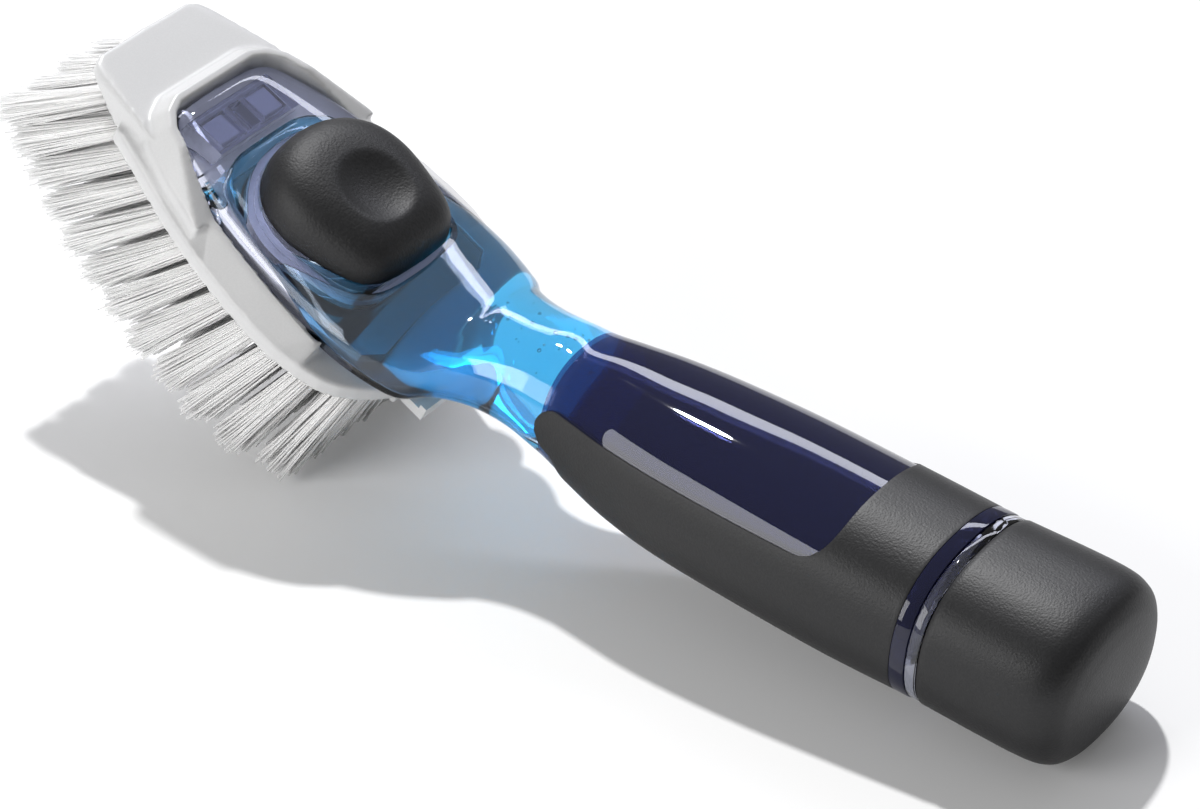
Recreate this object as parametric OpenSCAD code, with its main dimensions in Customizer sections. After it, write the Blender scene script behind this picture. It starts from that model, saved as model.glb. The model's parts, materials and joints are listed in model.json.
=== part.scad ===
// Dish wand with a soap reservoir in its handle, at rest on its rear bristles and its cap.
// Handle frame: X runs from the cap's end towards the head, Z is up, Y is to the side.
// Head frame: X runs from the neck to the scraper, Z is square to the brush plate, on the button's side.

/* [Cap] */
// Length of the soft cover on the screw cap
cap_l = 30; // [24:1:40]
// Thickness of the clear flange on the screw cap
cap_flange_t = 2.6; // [2:0.1:4]
// Half width of the cap and of the handle's rear end
cap_half_w = 20.1; // [18:0.1:24]
// Height of the cap's top above the handle's axis
cap_top = 16.9; // [15.6:0.1:20]
// Depth of the cap's underside below the handle's axis
cap_bottom = 16; // [15.6:0.1:20]
// Radius of the threaded neck under the cap
neck_r = 12; // [10:0.1:12.4]
// Wall of the threaded neck
neck_wall = 1.6; // [1.2:0.1:2.4]
// Length of the threaded neck that stands out of the handle
neck_l = 18; // [14:1:20]
// Height of the thread
thread_h = 1; // [0.7:0.1:1.2]
// Advance of the thread in one turn
thread_lead = 6; // [5:0.5:8]
// Turns of the thread on the neck
thread_turns = 1.25; // [1:0.25:1.75]
// Wall of the cap's inner socket
socket_wall = 1.4; // [1:0.1:1.5]
// Thickness of the cap's sealing washer
seal_t = 1.8; // [1:0.1:2.5]

/* [Handle] */
// Thickness of the clear collar at the handle's rear end
collar_t = 3.2; // [2.4:0.1:5]
// Length from the collar to the tips of the grip's side lobes
grip_l = 86; // [76:1:100]
// Thickness of the soft grip
grip_t = 1.8; // [1.4:0.1:2.4]
// Distance from the collar to the rear edge of the window
window_back = 17.2; // [12:0.2:26]
// Height of the window's side edges above the handle's axis
window_edge = 9.6; // [6:0.2:12]
// Corner radius of the window's rear end
window_corner = 7; // [3:0.5:7]
// Distance by which the side lobes pass the grip's front edge below
lobe_l = 9; // [4:0.5:14]
// Half width of the grip at its fullest
grip_half_w = 20.2; // [18.5:0.1:23]
// Half width of the neck where it is slimmest
slim_half_w = 13.6; // [12.5:0.1:15.5]
// Wall of the clear reservoir
shell_wall = 2; // [1.6:0.1:2.6]

/* [Clear head] */
// Angle between the handle and the head
head_tilt = 25.2; // [20:0.2:28]
// Distance from the lobes to the head frame's origin, along the handle
head_reach = 16.8; // [15:0.2:20]
// Depth of the head frame's origin below the handle's axis
head_drop = 16.1; // [15:0.1:17.5]
// Half width of the clear head at its fullest
head_half_w = 24.3; // [23.3:0.1:27]
// Length of the clear head, from the head frame's origin to the nose
head_l = 90; // [88:0.5:94]
// Thickness of the welded cover under the clear head
base_t = 1.8; // [1.4:0.1:2]

/* [Button and pump] */
// Place of the button's middle along the head
button_at = 52.6; // [51.6:0.1:54]
// Length of the button
button_l = 36; // [33:0.2:37]
// Width of the button
button_w = 34.4; // [32:0.2:35]
// Height of the button's crown above its lower rim
button_h = 13; // [11:0.2:15]
// Wall of the button
button_wall = 1.8; // [1.4:0.1:2.2]
// Travel of the button
button_travel = 3.2; // [2.4:0.1:3.4]
// Radius of the thumb dish's sphere
dish_r = 17; // [14:0.5:22]
// Depth of the thumb dish
dish_depth = 1.9; // [1:0.1:2.4]
// Wall of the well around the button
well_wall = 1.5; // [1.2:0.1:1.8]
// Thickness of the pump's plate
pump_t = 1.4; // [1.2:0.1:1.6]
// Radius of the pump's soft dome
dome_r = 11; // [9.5:0.1:11.6]
// Rise of the pump's soft dome above its rim
dome_h = 5; // [4.4:0.1:5.6]
// Wall of the pump's soft dome
dome_wall = 0.9; // [0.6:0.1:1.1]
// Radius of the nozzle
nozzle_r = 4.5; // [4:0.1:5]
// Radius of the nozzle's outlet
outlet_r = 1.4; // [0.8:0.1:1.6]

/* [Brush head] */
// Half width of the brush plate at its fullest
plate_half_w = 30.6; // [29.6:0.1:34]
// Thickness of the brush plate under the clear head
plate_t = 3.9; // [3.5:0.1:4.5]
// Distance from the clear nose to the scraper's edge
scraper_l = 20; // [15:0.5:26]
// Half width of the scraper's edge
scraper_half_w = 15; // [11:0.2:17]
// Rise of the brush plate's side walls above its floor
rail_h = 3.6; // [2.5:0.1:4]
// Rise of the collar around the nose above the brush plate's floor
collar_h = 8.6; // [7:0.1:9.5]
// Thickness of the rim around the clear head
rim_t = 1.8; // [1.4:0.1:2.6]
// Width of the release tab
tab_w = 25.4; // [20:0.2:28]
// Length of the release tab behind its pivot
tab_l = 8; // [7:0.2:10]
// Thickness of the release tab
tab_t = 2.3; // [1.6:0.1:2.6]

/* [Bristles] */
// Free length of the bristles
bristle_l = 33.5; // [28:0.5:38]
// Radius of a tuft where it leaves the plate
tuft_r = 1.9; // [1.5:0.1:2.2]
// Radius of a tuft at its tip
tip_r = 2.7; // [2:0.1:2.9]
// Distance from one tuft to the next
tuft_pitch = 6.9; // [6.6:0.1:8]
// Depth of the tuft holes
hole_d = 3; // [2.4:0.1:3.2]
// Forward lean of the rearmost tufts
lean_back = 7; // [4:1:12]
// Forward lean of the middle tufts
lean_mid = 27; // [16:1:30]
// Forward lean of the foremost tufts
lean_front = 36; // [30:1:40]
// Sideways lean of the outermost tufts
splay = 8; // [4:1:12]

/* [Fits] */
// Clearance between parts that move against each other
move_gap = 0.3; // [0.2:0.05:0.4]
// Clearance between parts that are fixed together
seat_gap = 0.05; // [0.02:0.01:0.1]

/* [Hidden] */

$fn = 48;
ring_n = 32;
span_n = 2;
big = 200;
eps = 0.01;

cap_end = cap_l + cap_flange_t;
collar_end = cap_end + collar_t;
lobe_x = collar_end + grip_l;
head_x = lobe_x + head_reach;
side = [1, -1];

// Levels in the head frame, from the plate's underside up
plate_bottom = 3;
plate_floor = plate_bottom + plate_t;
base_bottom = plate_floor + move_gap;
base_top = base_bottom + base_t;
pump_top = base_top + 3;
pump_bottom = pump_top - pump_t;
rim_level = base_bottom + 2.8;
button_bottom = pump_top + button_travel + move_gap;
crown = button_bottom + button_h;
diaphragm_top = pump_top + 1 + dome_h;
nose = head_l;

// Outline curves

// Point on the smooth curve through four points of a list
function bend(a, b, c, d, t) = 0.5 * (2 * b + (c - a) * t + (2 * a - 5 * b + 4 * c - d) * t * t
    + (3 * b - a - 3 * c + d) * t * t * t);

// A list of points or stations with n - 1 more between each two, on a smooth curve
function smooth(p, n) = let (last = len(p) - 1) [
    for (i = [0:last - 1])
        for (k = [0:n - 1])
            bend(p[max(i - 1, 0)], p[i], p[i + 1], p[min(i + 2, last)], k / n),
    p[last]];

// A half outline from the middle line round to the middle line, with its mirror image
function both_sides(p) = concat(p, [for (i = [len(p) - 2:-1:1]) [p[i][0], -p[i][1]]]);

function signed_pow(a, e) = sign(a) * pow(abs(a), e);

// Cross-sections. A station is [x, z, tilt, half width, top, bottom, upper exponent, lower exponent]
function section(s) = [
    for (i = [0:ring_n - 1])
        let (
            a = 360 * i / ring_n,
            up = sin(a) >= 0,
            e = 2 / (up ? s[6] : s[7]),
            y = s[3] * signed_pow(cos(a), e),
            h = (up ? s[4] : s[5]) * signed_pow(sin(a), e)
        )
        [s[0] - h * sin(s[2]), y, s[1] + h * cos(s[2])]];

// One station with every side moved inwards by d
function inset(s, d) = [s[0], s[1], s[2], s[3] - d, s[4] - d, s[5] - d, s[6], s[7]];

function shrunk(list, d) = [for (s = list) inset(s, d)];

// The same stations with those that lie under the soft grip moved inwards by d
function under_grip(list, d) = [for (s = list) inset(s, s[0] < lobe_x + 0.5 ? d : 0)];

// Place of a point of the head frame in the handle frame, in the plane of symmetry
function from_head(u, v) = [head_x + u * cos(head_tilt) - v * sin(head_tilt),
    -head_drop + u * sin(head_tilt) + v * cos(head_tilt)];

function head_station(u, v, w, t, b, upper, lower) = let (p = from_head(u, v))
    [p[0], p[1], head_tilt, w, t, b, upper, lower];

module loft(stations) {
    rings = [for (s = stations) section(s)];
    n = ring_n;
    last = (len(rings) - 1) * n;
    points = [for (r = rings) each r];
    walls = [
        for (i = [0:len(rings) - 2])
            for (j = [0:n - 1])
                let (a = i * n + j, b = i * n + (j + 1) % n)
                    each [[a, a + n, b], [b, a + n, b + n]]];
    back = [for (j = [0:n - 1]) j];
    front = [for (j = [n - 1:-1:0]) last + j];
    polyhedron(points, concat([back], walls, [front]), convexity = 6);
}

// The cap's outside, from its flat end to the collar
cap_stations = [
    [0, 0, 0, cap_half_w - 7, cap_top - 6.7, cap_bottom - 5.4, 2.3, 2.3],
    [1.4, 0, 0, cap_half_w - 3.4, cap_top - 3.2, cap_bottom - 2.2, 2.4, 2.4],
    [4.6, 0, 0, cap_half_w - 1.1, cap_top - 0.8, cap_bottom - 0.4, 2.5, 2.5],
    [11, 0, 0, cap_half_w, cap_top + 0.2, cap_bottom, 2.5, 2.5],
    [cap_l, 0, 0, cap_half_w, cap_top, cap_bottom, 2.4, 2.4]];

cap_ring = [for (x = [cap_l, cap_end, collar_end]) [x, 0, 0, cap_half_w, cap_top, cap_bottom, 2.4, 2.4]];

// The handle from the collar to the neck, then the clear head to its nose
handle_stations = [
    [collar_end, 0, 0, cap_half_w, cap_top, cap_bottom, 2.4, 2.4],
    [collar_end + 0.2 * grip_l, 0, 0, grip_half_w, cap_top + 0.5, cap_bottom + 0.4, 2.4, 2.4],
    [collar_end + 0.45 * grip_l, 0, 0, grip_half_w - 0.2, cap_top + 1.1, cap_bottom - 0.6, 2.4, 2.4],
    [collar_end + 0.65 * grip_l, 0, 0, grip_half_w - 1, cap_top + 1, cap_bottom - 1.6, 2.4, 2.4],
    [collar_end + 0.79 * grip_l, 0.5, 0, grip_half_w - 2.4, cap_top + 0.2, cap_bottom - 2.8, 2.4, 2.4],
    [collar_end + 0.9 * grip_l, 1.2, 0, slim_half_w + 2.4, cap_top - 0.8, cap_bottom - 4.2, 2.3, 2.3],
    [lobe_x - 1, 2, 0, slim_half_w + 0.8, cap_top - 2.2, cap_bottom - 6, 2.3, 2.3],
    [lobe_x + 7, 3, 3, slim_half_w, cap_top - 3.5, cap_bottom - 8, 2.2, 2.2],
    [lobe_x + 15, 3.4, 9, slim_half_w + 0.6, cap_top - 4.3, cap_bottom - 9, 2.2, 2.2],
    [lobe_x + 22.5, 3, 16, slim_half_w + 3, cap_top - 3.9, cap_bottom - 9.4, 2.2, 2.3]];

head_stations = [
    head_station(18, rim_level + 1, head_half_w - 3.5, 15, 3.8, 2.2, 3),
    head_station(27, rim_level + 0.5, head_half_w - 0.8, 12, 3.3, 2.4, 4),
    head_station(37, rim_level, head_half_w, 9.6, 2.8, 2.6, 5),
    head_station(50, rim_level, head_half_w - 0.6, 7.8, 2.8, 2.8, 5),
    head_station(nose - 23, rim_level, head_half_w - 2.8, 6.6, 2.8, 3, 5),
    head_station(nose - 12, rim_level, head_half_w - 5.6, 5.6, 2.8, 3, 5)];

nose_stations = [
    head_station(nose - 4, rim_level, head_half_w - 8.6, 4.8, 2.8, 3, 4),
    head_station(nose - 1.4, rim_level, head_half_w - 10.8, 3.8, 2.4, 3, 3),
    head_station(nose, rim_level, head_half_w - 14, 2, 1.6, 3, 3)];

body_stations = smooth(concat(handle_stations, head_stations, nose_stations), span_n);

// The wet space ends in a rounded wall in front of the button
wet_nose = button_at + button_l / 2 + 4.4;
wet_stations = concat(
    [[collar_end - 1, 0, 0, cap_half_w, cap_top, cap_bottom, 2.4, 2.4]],
    smooth(concat(handle_stations, [for (i = [0:2]) head_stations[i]], [
        head_station(50, rim_level, head_half_w - 2.8, 7.8, 2.8, 2.8, 5),
        head_station(wet_nose - 6, rim_level, head_half_w - 6.2, 6.6, 2.8, 3, 5),
        head_station(wet_nose - 1.6, rim_level, head_half_w - 10, 6.2, 2.8, 3, 5),
        head_station(wet_nose, rim_level, head_half_w - 13.5, 5.4, 2.6, 3, 5)]), span_n));

// Half outline of the button, seen along its travel
button_half = smooth([
    [button_at - 0.5 * button_l, 0],
    [button_at - 0.485 * button_l, 0.18 * button_w],
    [button_at - 0.43 * button_l, 0.31 * button_w],
    [button_at - 0.3 * button_l, 0.41 * button_w],
    [button_at - 0.1 * button_l, 0.485 * button_w],
    [button_at + 0.1 * button_l, 0.5 * button_w],
    [button_at + 0.28 * button_l, 0.45 * button_w],
    [button_at + 0.41 * button_l, 0.33 * button_w],
    [button_at + 0.48 * button_l, 0.17 * button_w],
    [button_at + 0.5 * button_l, 0]], 2);

// Half outline of the brush plate
plate_back = 17.5;
plate_front = nose + scraper_l;
plate_half = smooth([
    [plate_back, 0],
    [plate_back + 0.5, 9],
    [plate_back + 2.3, 16.5],
    [plate_back + 6.5, plate_half_w - 7.4],
    [plate_back + 12.5, plate_half_w - 2.4],
    [plate_back + 23, plate_half_w],
    [plate_back + 36, plate_half_w - 0.4],
    [plate_back + 50, plate_half_w - 2.4],
    [nose - 12, plate_half_w - 5],
    [nose - 2, plate_half_w - 8.2]], 2);
scraper_half = [
    [nose + 0.5 * scraper_l, scraper_half_w + 4.2],
    [plate_front - 5, scraper_half_w + 2],
    [plate_front - 1.6, scraper_half_w],
    [plate_front - 0.3, scraper_half_w - 2.4],
    [plate_front, 0]];

// Half outline of the clear head at its widest level, as the brush plate sees it
rim_half = concat([[37, 0]], [for (s = [
    [37, head_half_w], [50, head_half_w - 0.6], [nose - 23, head_half_w - 2.8], [nose - 12, head_half_w - 5.6],
    [nose - 4, head_half_w - 8.6], [nose - 1.4, head_half_w - 10.8], [nose, head_half_w - 14], [nose, 0]]) s]);

// Half outline of the welded cover under the head
cover_back = 26;
cover_half_w = head_half_w - shell_wall - 4;
cover_ledge = 1.6;
cover_half = [
    [cover_back, 0],
    [cover_back, cover_half_w - 5],
    [cover_back + 3, cover_half_w - 1],
    [cover_back + 10, cover_half_w],
    [50, cover_half_w],
    [wet_nose - 8, cover_half_w - 2.6],
    [wet_nose - 3, cover_half_w - 6],
    [wet_nose - 3, 0]];

// Tufts: rows across the plate, each [place along the head, half width of the row]
function plate_width(u) = lookup(u, [for (p = concat(plate_half, scraper_half)) [p[0], p[1]]]);
first_row = 27;
last_row = nose + 14;
row_n = floor((last_row - first_row) / tuft_pitch);
rows = [for (i = [0:row_n]) let (u = first_row + i * tuft_pitch) [u, plate_width(u) - 6]];
function tufts_across(row) = max(2, round(2 * row[1] / tuft_pitch) + 1);
nozzle_clear = nozzle_r + 2.4 + tuft_r;

// Forward lean along the head, a parabola through the three chosen leans
function lean(u) = let (t = (u - first_row) / (last_row - first_row))
    lean_back * (2 * t - 1) * (t - 1) + lean_mid * 4 * t * (1 - t) + lean_front * t * (2 * t - 1);

// Each tuft is [u, y, forward lean, sideways lean]
function row_tufts(i) = let (row = rows[i], n = tufts_across(row)) [
    for (j = [0:n - 1])
        let (y = row[1] * (2 * j / (n - 1) - 1))
            if (norm([row[0] - button_at, y]) > nozzle_clear)
                [row[0], y, lean(row[0]), -splay * y / plate_half_w]];

// Direction in which a tuft grows, in the head frame
function tuft_dir(t) = [sin(t[2]) * cos(t[3]), -sin(t[3]), -cos(t[2]) * cos(t[3])];

// The wand lies on the rims of its rear tufts and on the cap's underside
function turned(p, a) = [p[0] * cos(a) - p[2] * sin(a), p[1], p[0] * sin(a) + p[2] * cos(a)];
function head_to_handle(p) = turned(p, head_tilt) + [head_x, 0, -head_drop];
function tuft_tip(t) = head_to_handle([t[0], t[1], plate_bottom] + bristle_l * tuft_dir(t));
function rim_drop(t, a) = let (d = turned(turned(tuft_dir(t), head_tilt), a)) tip_r * sqrt(1 - d[2] * d[2]);
function rim_reach(t, a) = let (d = turned(turned(tuft_dir(t), head_tilt), a)) tip_r * sqrt(1 - d[0] * d[0]);
all_tufts = [for (i = [0:row_n]) each row_tufts(i)];
cap_rest = [4.6, 0, -cap_bottom + 0.4];
slopes = [for (t = all_tufts) let (p = tuft_tip(t)) atan((cap_rest[2] - p[2] + rim_drop(t, 0)) / (p[0] - cap_rest[0]))];
rest_tilt = max(slopes);
z_low = min([for (t = all_tufts) turned(tuft_tip(t), rest_tilt)[2] - rim_drop(t, rest_tilt)]);
x_high = max([for (t = all_tufts) turned(tuft_tip(t), rest_tilt)[0] + rim_reach(t, rest_tilt)]);
x_low = -(cap_top - 6.7) * sin(rest_tilt);

module at_handle() translate([-(x_low + x_high) / 2, 0, -z_low]) rotate([0, -rest_tilt, 0]) children();
module at_head() at_handle() translate([head_x, 0, -head_drop]) rotate([0, -head_tilt, 0]) children();
module along_handle() rotate([0, 90, 0]) children();

// Shapes that several pieces share

// Block above, below or between two levels, over a flat outline
module slab(low, high) translate([0, 0, low]) linear_extrude(high - low) children();

// Side view of the opening in the grip
module window_side() {
    rear = collar_end + window_back;
    under = lobe_x - lobe_l;
    r = window_corner;
    pts = concat(
        [[rear, big]],
        [for (a = [180:15:270]) [rear + r + r * cos(a), window_edge + r + r * sin(a)]],
        [for (a = [90:-15:-90]) [lobe_x - 4.8 + 4.8 * cos(a), window_edge - 4.8 + 4.8 * sin(a)]],
        [[under, -8], [under, -big], [lobe_x + big, -big], [lobe_x + big, big]]);
    polygon(pts);
}

module window_block() rotate([90, 0, 0]) linear_extrude(2 * big, center = true) window_side();

// One ridge of thread round the X axis. It starts at x and stands between two radii
module thread(x, r_low, r_high, turns, start) {
    n = 36;
    steps = floor(turns * n);
    w = thread_lead / 2 - move_gap - 0.4;
    out = r_high > r_low ? 1 : -1;
    points = [
        for (i = [0:steps])
            let (
                a = start + 360 * i / n,
                f = min(1, 0.15 + i / 6, 0.15 + (steps - i) / 6),
                top = r_low + (r_high - r_low) * f,
                c = x + thread_lead * i / n
            )
            each [for (q = [[r_low - 0.3 * out, -w / 2], [top, -w / 4], [top, w / 4], [r_low - 0.3 * out, w / 2]])
                [c + q[1], q[0] * cos(a), q[0] * sin(a)]]];
    walls = [
        for (i = [0:steps - 1])
            for (j = [0:3])
                let (a = i * 4 + j, b = i * 4 + (j + 1) % 4)
                    each (out > 0 ? [[a, b, a + 4], [b, b + 4, a + 4]] : [[a, a + 4, b], [b, a + 4, b + 4]])];
    ends = [[3, 2, 1, 0], [for (j = [0:3]) steps * 4 + j]];
    flipped = [for (e = ends) [for (j = [3:-1:0]) e[j]]];
    polyhedron(points, concat(walls, out > 0 ? ends : flipped), convexity = 8);
}

module button_outline(grow) offset(r = grow) polygon(both_sides(button_half));
module plate_outline(grow) offset(delta = grow) polygon(both_sides(concat(plate_half, scraper_half)));
module rim_outline(grow) offset(r = grow) polygon(both_sides(rim_half));
module cover_outline(grow) offset(delta = grow) polygon(both_sides(cover_half));

// The handle's pieces

socket_r = neck_r + thread_h + move_gap + 0.1;
core_r = socket_r + socket_wall;
neck_end = cap_end - neck_l;
thread_x = neck_end + 4;

module neck_bore(low, high) translate([low, 0, 0]) along_handle() cylinder(h = high - low, r = neck_r - neck_wall);

// What the head's loft takes up, in the head frame, moved outwards by grow
module head_volume(grow) {
    rotate([0, head_tilt, 0]) translate([-head_x, 0, head_drop]) loft(shrunk(body_stations, -grow));
}

// The wet space, in the handle frame, moved inwards by gap
module wet_space(gap) {
    difference() {
        loft(shrunk(under_grip(wet_stations, grip_t), shell_wall + gap));
        translate([head_x, 0, -head_drop]) rotate([0, -head_tilt, 0])
            slab(pump_top + gap, big) button_outline(move_gap + well_wall + gap);
    }
}

module reservoir_body() {
    color([0.62, 0.66, 0.86, 0.4])
    at_handle() difference() {
        loft(under_grip(body_stations, grip_t));
        wet_space(0);
        translate([head_x, 0, -head_drop]) rotate([0, -head_tilt, 0]) {
            slab(pump_top - eps, big) button_outline(move_gap);
            slab(pump_bottom - seat_gap, pump_top) button_outline(move_gap + well_wall + seat_gap);
            slab(0, base_top + seat_gap) cover_outline(seat_gap);
            slab(0, base_top + 0.6) cover_outline(-cover_ledge);
            nose_pocket();
        }
    }
}

pocket_back = wet_nose + 2;
pocket_front = nose - 3.6;
pocket_half_w = 11.4;
pocket_top = base_bottom + 5;

module nose_pocket() {
    translate([pocket_back, -pocket_half_w, 0]) cube([pocket_front - pocket_back, 2 * pocket_half_w, pocket_top]);
}

module filler_neck() {
    color([0.62, 0.66, 0.86, 0.4])
    at_handle() difference() {
        union() {
            loft([cap_ring[1], cap_ring[2]]);
            translate([neck_end, 0, 0]) along_handle() cylinder(h = neck_l + eps, r = neck_r);
            thread(thread_x, neck_r, neck_r + thread_h, thread_turns, 0);
        }
        neck_bore(neck_end - 1, collar_end + 1);
    }
}

module grip_sleeve() {
    color([0.09, 0.09, 0.1])
    at_handle() difference() {
        intersection() {
            loft(body_stations);
            translate([collar_end + seat_gap, -big, -big]) cube([lobe_x - collar_end, 2 * big, 2 * big]);
        }
        loft(under_grip(concat([cap_ring[1]], body_stations), grip_t - seat_gap));
        window_block();
    }
}

module soap_fill() {
    color([0.1, 0.75, 0.95, 0.8])
    at_handle() difference() {
        intersection() {
            wet_space(seat_gap);
            translate([collar_end + seat_gap, -big, -big]) cube([2 * big, 2 * big, 2 * big]);
        }
        translate([head_x, 0, -head_drop]) rotate([0, -head_tilt, 0]) {
            slab(0, base_top + 2 * seat_gap) square(2 * big, center = true);
            slab(pump_bottom - 2 * seat_gap, big) button_outline(move_gap + well_wall + 2 * seat_gap);
            translate([button_at, 0, 0]) cylinder(h = big, r = outlet_tube_r + 2 * seat_gap);
            translate([button_at - inlet_at, 0, base_top]) cylinder(h = big, r = 2);
        }
    }
}

// The pump

outlet_tube_r = nozzle_r + 2;
gland_r = nozzle_r + 1.3;
inlet_at = 6.4;
valve_r = nozzle_r - 1.4;

module head_base() {
    color([0.66, 0.7, 0.88, 0.4])
    at_head() difference() {
        slab(base_bottom, base_top) cover_outline(0);
        translate([button_at, 0, base_bottom - 1]) cylinder(h = base_t + 2, r = nozzle_r + seat_gap);
        translate([button_at, 0, base_top - 1.2]) cylinder(h = 2, r = gland_r);
    }
}

module front_catch() {
    color([0.7, 0.72, 0.9, 0.5])
    at_head() difference() {
        translate([pocket_back + seat_gap, -pocket_half_w + seat_gap, base_bottom])
            cube([pocket_front - pocket_back - 2 * seat_gap, 2 * (pocket_half_w - seat_gap),
                pocket_top - base_bottom - seat_gap]);
        for (s = side) translate([0, s * hook_y, 0]) slab(0, pocket_top - 0.8) hook_outline(move_gap);
        translate([pocket_back + 1.4, -1.6, 0]) cube([pocket_front - pocket_back - 2.8, 3.2, pocket_top - 0.8]);
    }
}

// The hooks of the brush plate stand in the catch
hook_y = 6.2;
hook_w = 5.6;

module hook_outline(grow) {
    l = pocket_front - pocket_back - 2.8 - 2 * move_gap;
    translate([(pocket_front + pocket_back) / 2, 0]) square([l + 2 * grow, hook_w + 2 * grow], center = true);
}

module pump_plate() {
    color([0.8, 0.84, 0.92, 0.6])
    at_head() difference() {
        union() {
            slab(pump_bottom, pump_top - seat_gap) button_outline(move_gap + well_wall);
            translate([button_at, 0, base_top + seat_gap]) cylinder(h = pump_bottom - base_top, r = outlet_tube_r);
        }
        translate([button_at, 0, base_top - 1]) cylinder(h = 8, r = outlet_r + 0.6);
        translate([button_at - inlet_at, 0, base_top]) {
            cylinder(h = 8, r = 0.9);
            cylinder(h = pump_bottom - base_top, r = 1.5);
            for (a = [45:90:315]) rotate(a) translate([2.2, 0, 0]) cylinder(h = 8, r = 0.7);
        }
    }
}

module inlet_valve() {
    color([0.95, 0.95, 0.93])
    at_head() translate([button_at - inlet_at, 0, 0]) {
        translate([0, 0, pump_top]) cylinder(h = 0.7, r1 = 3.4, r2 = 2.6);
        translate([0, 0, pump_bottom - 0.3]) cylinder(h = pump_t + 0.4, r = 0.85);
        translate([0, 0, pump_bottom - 1.1]) cylinder(h = 0.9, r1 = 0.8, r2 = 1.4);
    }
}

valve_top = base_top - seat_gap;

module outlet_valve() {
    color([0.95, 0.95, 0.93])
    at_head() translate([button_at, 0, 0]) difference() {
        union() {
            translate([0, 0, valve_top - 0.9]) cylinder(h = 0.9, r = valve_r - seat_gap);
            translate([0, 0, valve_top - 3]) cylinder(h = 2.2, r1 = 1.2, r2 = 2.2);
        }
        translate([0, 0, valve_top - 2.4]) cylinder(h = 3, r1 = 0.7, r2 = 1.5);
        translate([-0.9, -0.1, valve_top - 4]) cube([1.8, 0.2, 3]);
    }
}

nozzle_bottom = plate_bottom - 0.5;

module nozzle() {
    color([0.9, 0.91, 0.93])
    at_head() translate([button_at, 0, 0]) difference() {
        translate([0, 0, nozzle_bottom]) cylinder(h = base_top - nozzle_bottom, r = nozzle_r);
        translate([0, 0, nozzle_bottom - 1]) cylinder(h = 10, r = outlet_r);
        translate([0, 0, base_top - 3.4]) cylinder(h = 10, r = valve_r);
    }
}

module nozzle_seal() {
    ring_r = (gland_r - nozzle_r) / 2 - seat_gap;
    color([0.2, 0.2, 0.22])
    at_head() translate([button_at, 0, base_top - 0.6]) rotate_extrude()
        translate([nozzle_r + (gland_r - nozzle_r) / 2, 0]) circle(r = min(ring_r, 0.58), $fn = 24);
}

module pump_diaphragm() {
    color([0.9, 0.9, 0.88])
    at_head() translate([button_at, 0, pump_top]) rotate_extrude() difference() {
        polygon(concat([[0, 0]], [[dome_r + 2.4, 0], [dome_r + 2.4, 1]],
            [for (a = [0:15:90]) [dome_r * cos(a), 1 + dome_h * sin(a)]]));
        polygon(concat([[0, -1], [dome_r - dome_wall, -1]],
            [for (a = [0:15:90]) [(dome_r - dome_wall) * cos(a), 1 + (dome_h - dome_wall) * sin(a)]]));
    }
}

module diaphragm_ring() {
    color([0.85, 0.87, 0.93])
    at_head() translate([button_at, 0, pump_top + 1]) difference() {
        cylinder(h = 1.1, r = dome_r + 2.8);
        translate([0, 0, -1]) cylinder(h = 4, r = dome_r + move_gap);
    }
}

// The cap

module cap_core() {
    floor_x = neck_end - seal_t - move_gap;
    flange_inset = 0.25;
    color([0.62, 0.66, 0.86, 0.4])
    at_handle() {
        difference() {
            union() {
                loft([
                    inset(cap_ring[0], flange_inset) + [seat_gap, 0, 0, 0, 0, 0, 0, 0],
                    inset(cap_ring[1], flange_inset) - [seat_gap, 0, 0, 0, 0, 0, 0, 0]]);
                translate([floor_x - 2, 0, 0]) along_handle() cylinder(h = cap_l - floor_x + 3, r = core_r);
            }
            translate([floor_x, 0, 0]) along_handle() cylinder(h = cap_end, r = socket_r);
        }
        thread(thread_x - thread_lead / 2 + move_gap / 2, socket_r, socket_r - thread_h, 1, 0);
    }
}

module cap_cover() {
    color([0.08, 0.08, 0.09])
    at_handle() difference() {
        loft(smooth(cap_stations, span_n));
        translate([neck_end - seal_t - move_gap - 2 - seat_gap, 0, 0]) along_handle()
            cylinder(h = cap_l, r = core_r + seat_gap);
    }
}

module cap_seal() {
    color([0.75, 0.78, 0.82])
    at_handle() translate([neck_end - seal_t - move_gap / 2, 0, 0]) along_handle() difference() {
        cylinder(h = seal_t, r = socket_r - 0.3);
        translate([0, 0, -1]) cylinder(h = seal_t + 2, r = neck_r - neck_wall - 1.4);
    }
}

// The button

// Rings of the button: each [share of its height, inset]
button_rings = [[0, 0], [0.18, 0], [0.4, 0.5], [0.6, 1.7], [0.76, 3.6], [0.88, 6], [0.96, 8.8], [1, 12.5]];

module button_solid(h, grow) {
    n = len(both_sides(button_half));
    base = both_sides(button_half);
    mid = [button_at, 0];
    rings = [
        for (r = button_rings)
            let (k = 1 - (r[1] + grow) / (button_w / 2))
                [for (p = base) let (q = mid + k * (p - mid)) [q[0], q[1], button_bottom + r[0] * h]]];
    last = (len(rings) - 1) * n;
    walls = [
        for (i = [0:len(rings) - 2])
            for (j = [0:n - 1])
                let (a = i * n + j, b = i * n + (j + 1) % n)
                    each [[a, b, a + n], [b, b + n, a + n]]];
    bottom = [for (j = [n - 1:-1:0]) j];
    top = [for (j = [0:n - 1]) last + j];
    polyhedron([for (r = rings) each r], concat([bottom], walls, [top]), convexity = 4);
}

module button_cap() {
    color([0.08, 0.08, 0.09])
    at_head() difference() {
        button_solid(button_h, 0);
        translate([0, 0, -eps]) button_solid(button_h - button_wall - dish_depth, button_wall);
        translate([button_at - 2.6, 0, crown + dish_r - dish_depth]) sphere(r = dish_r, $fn = 96);
    }
}

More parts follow.
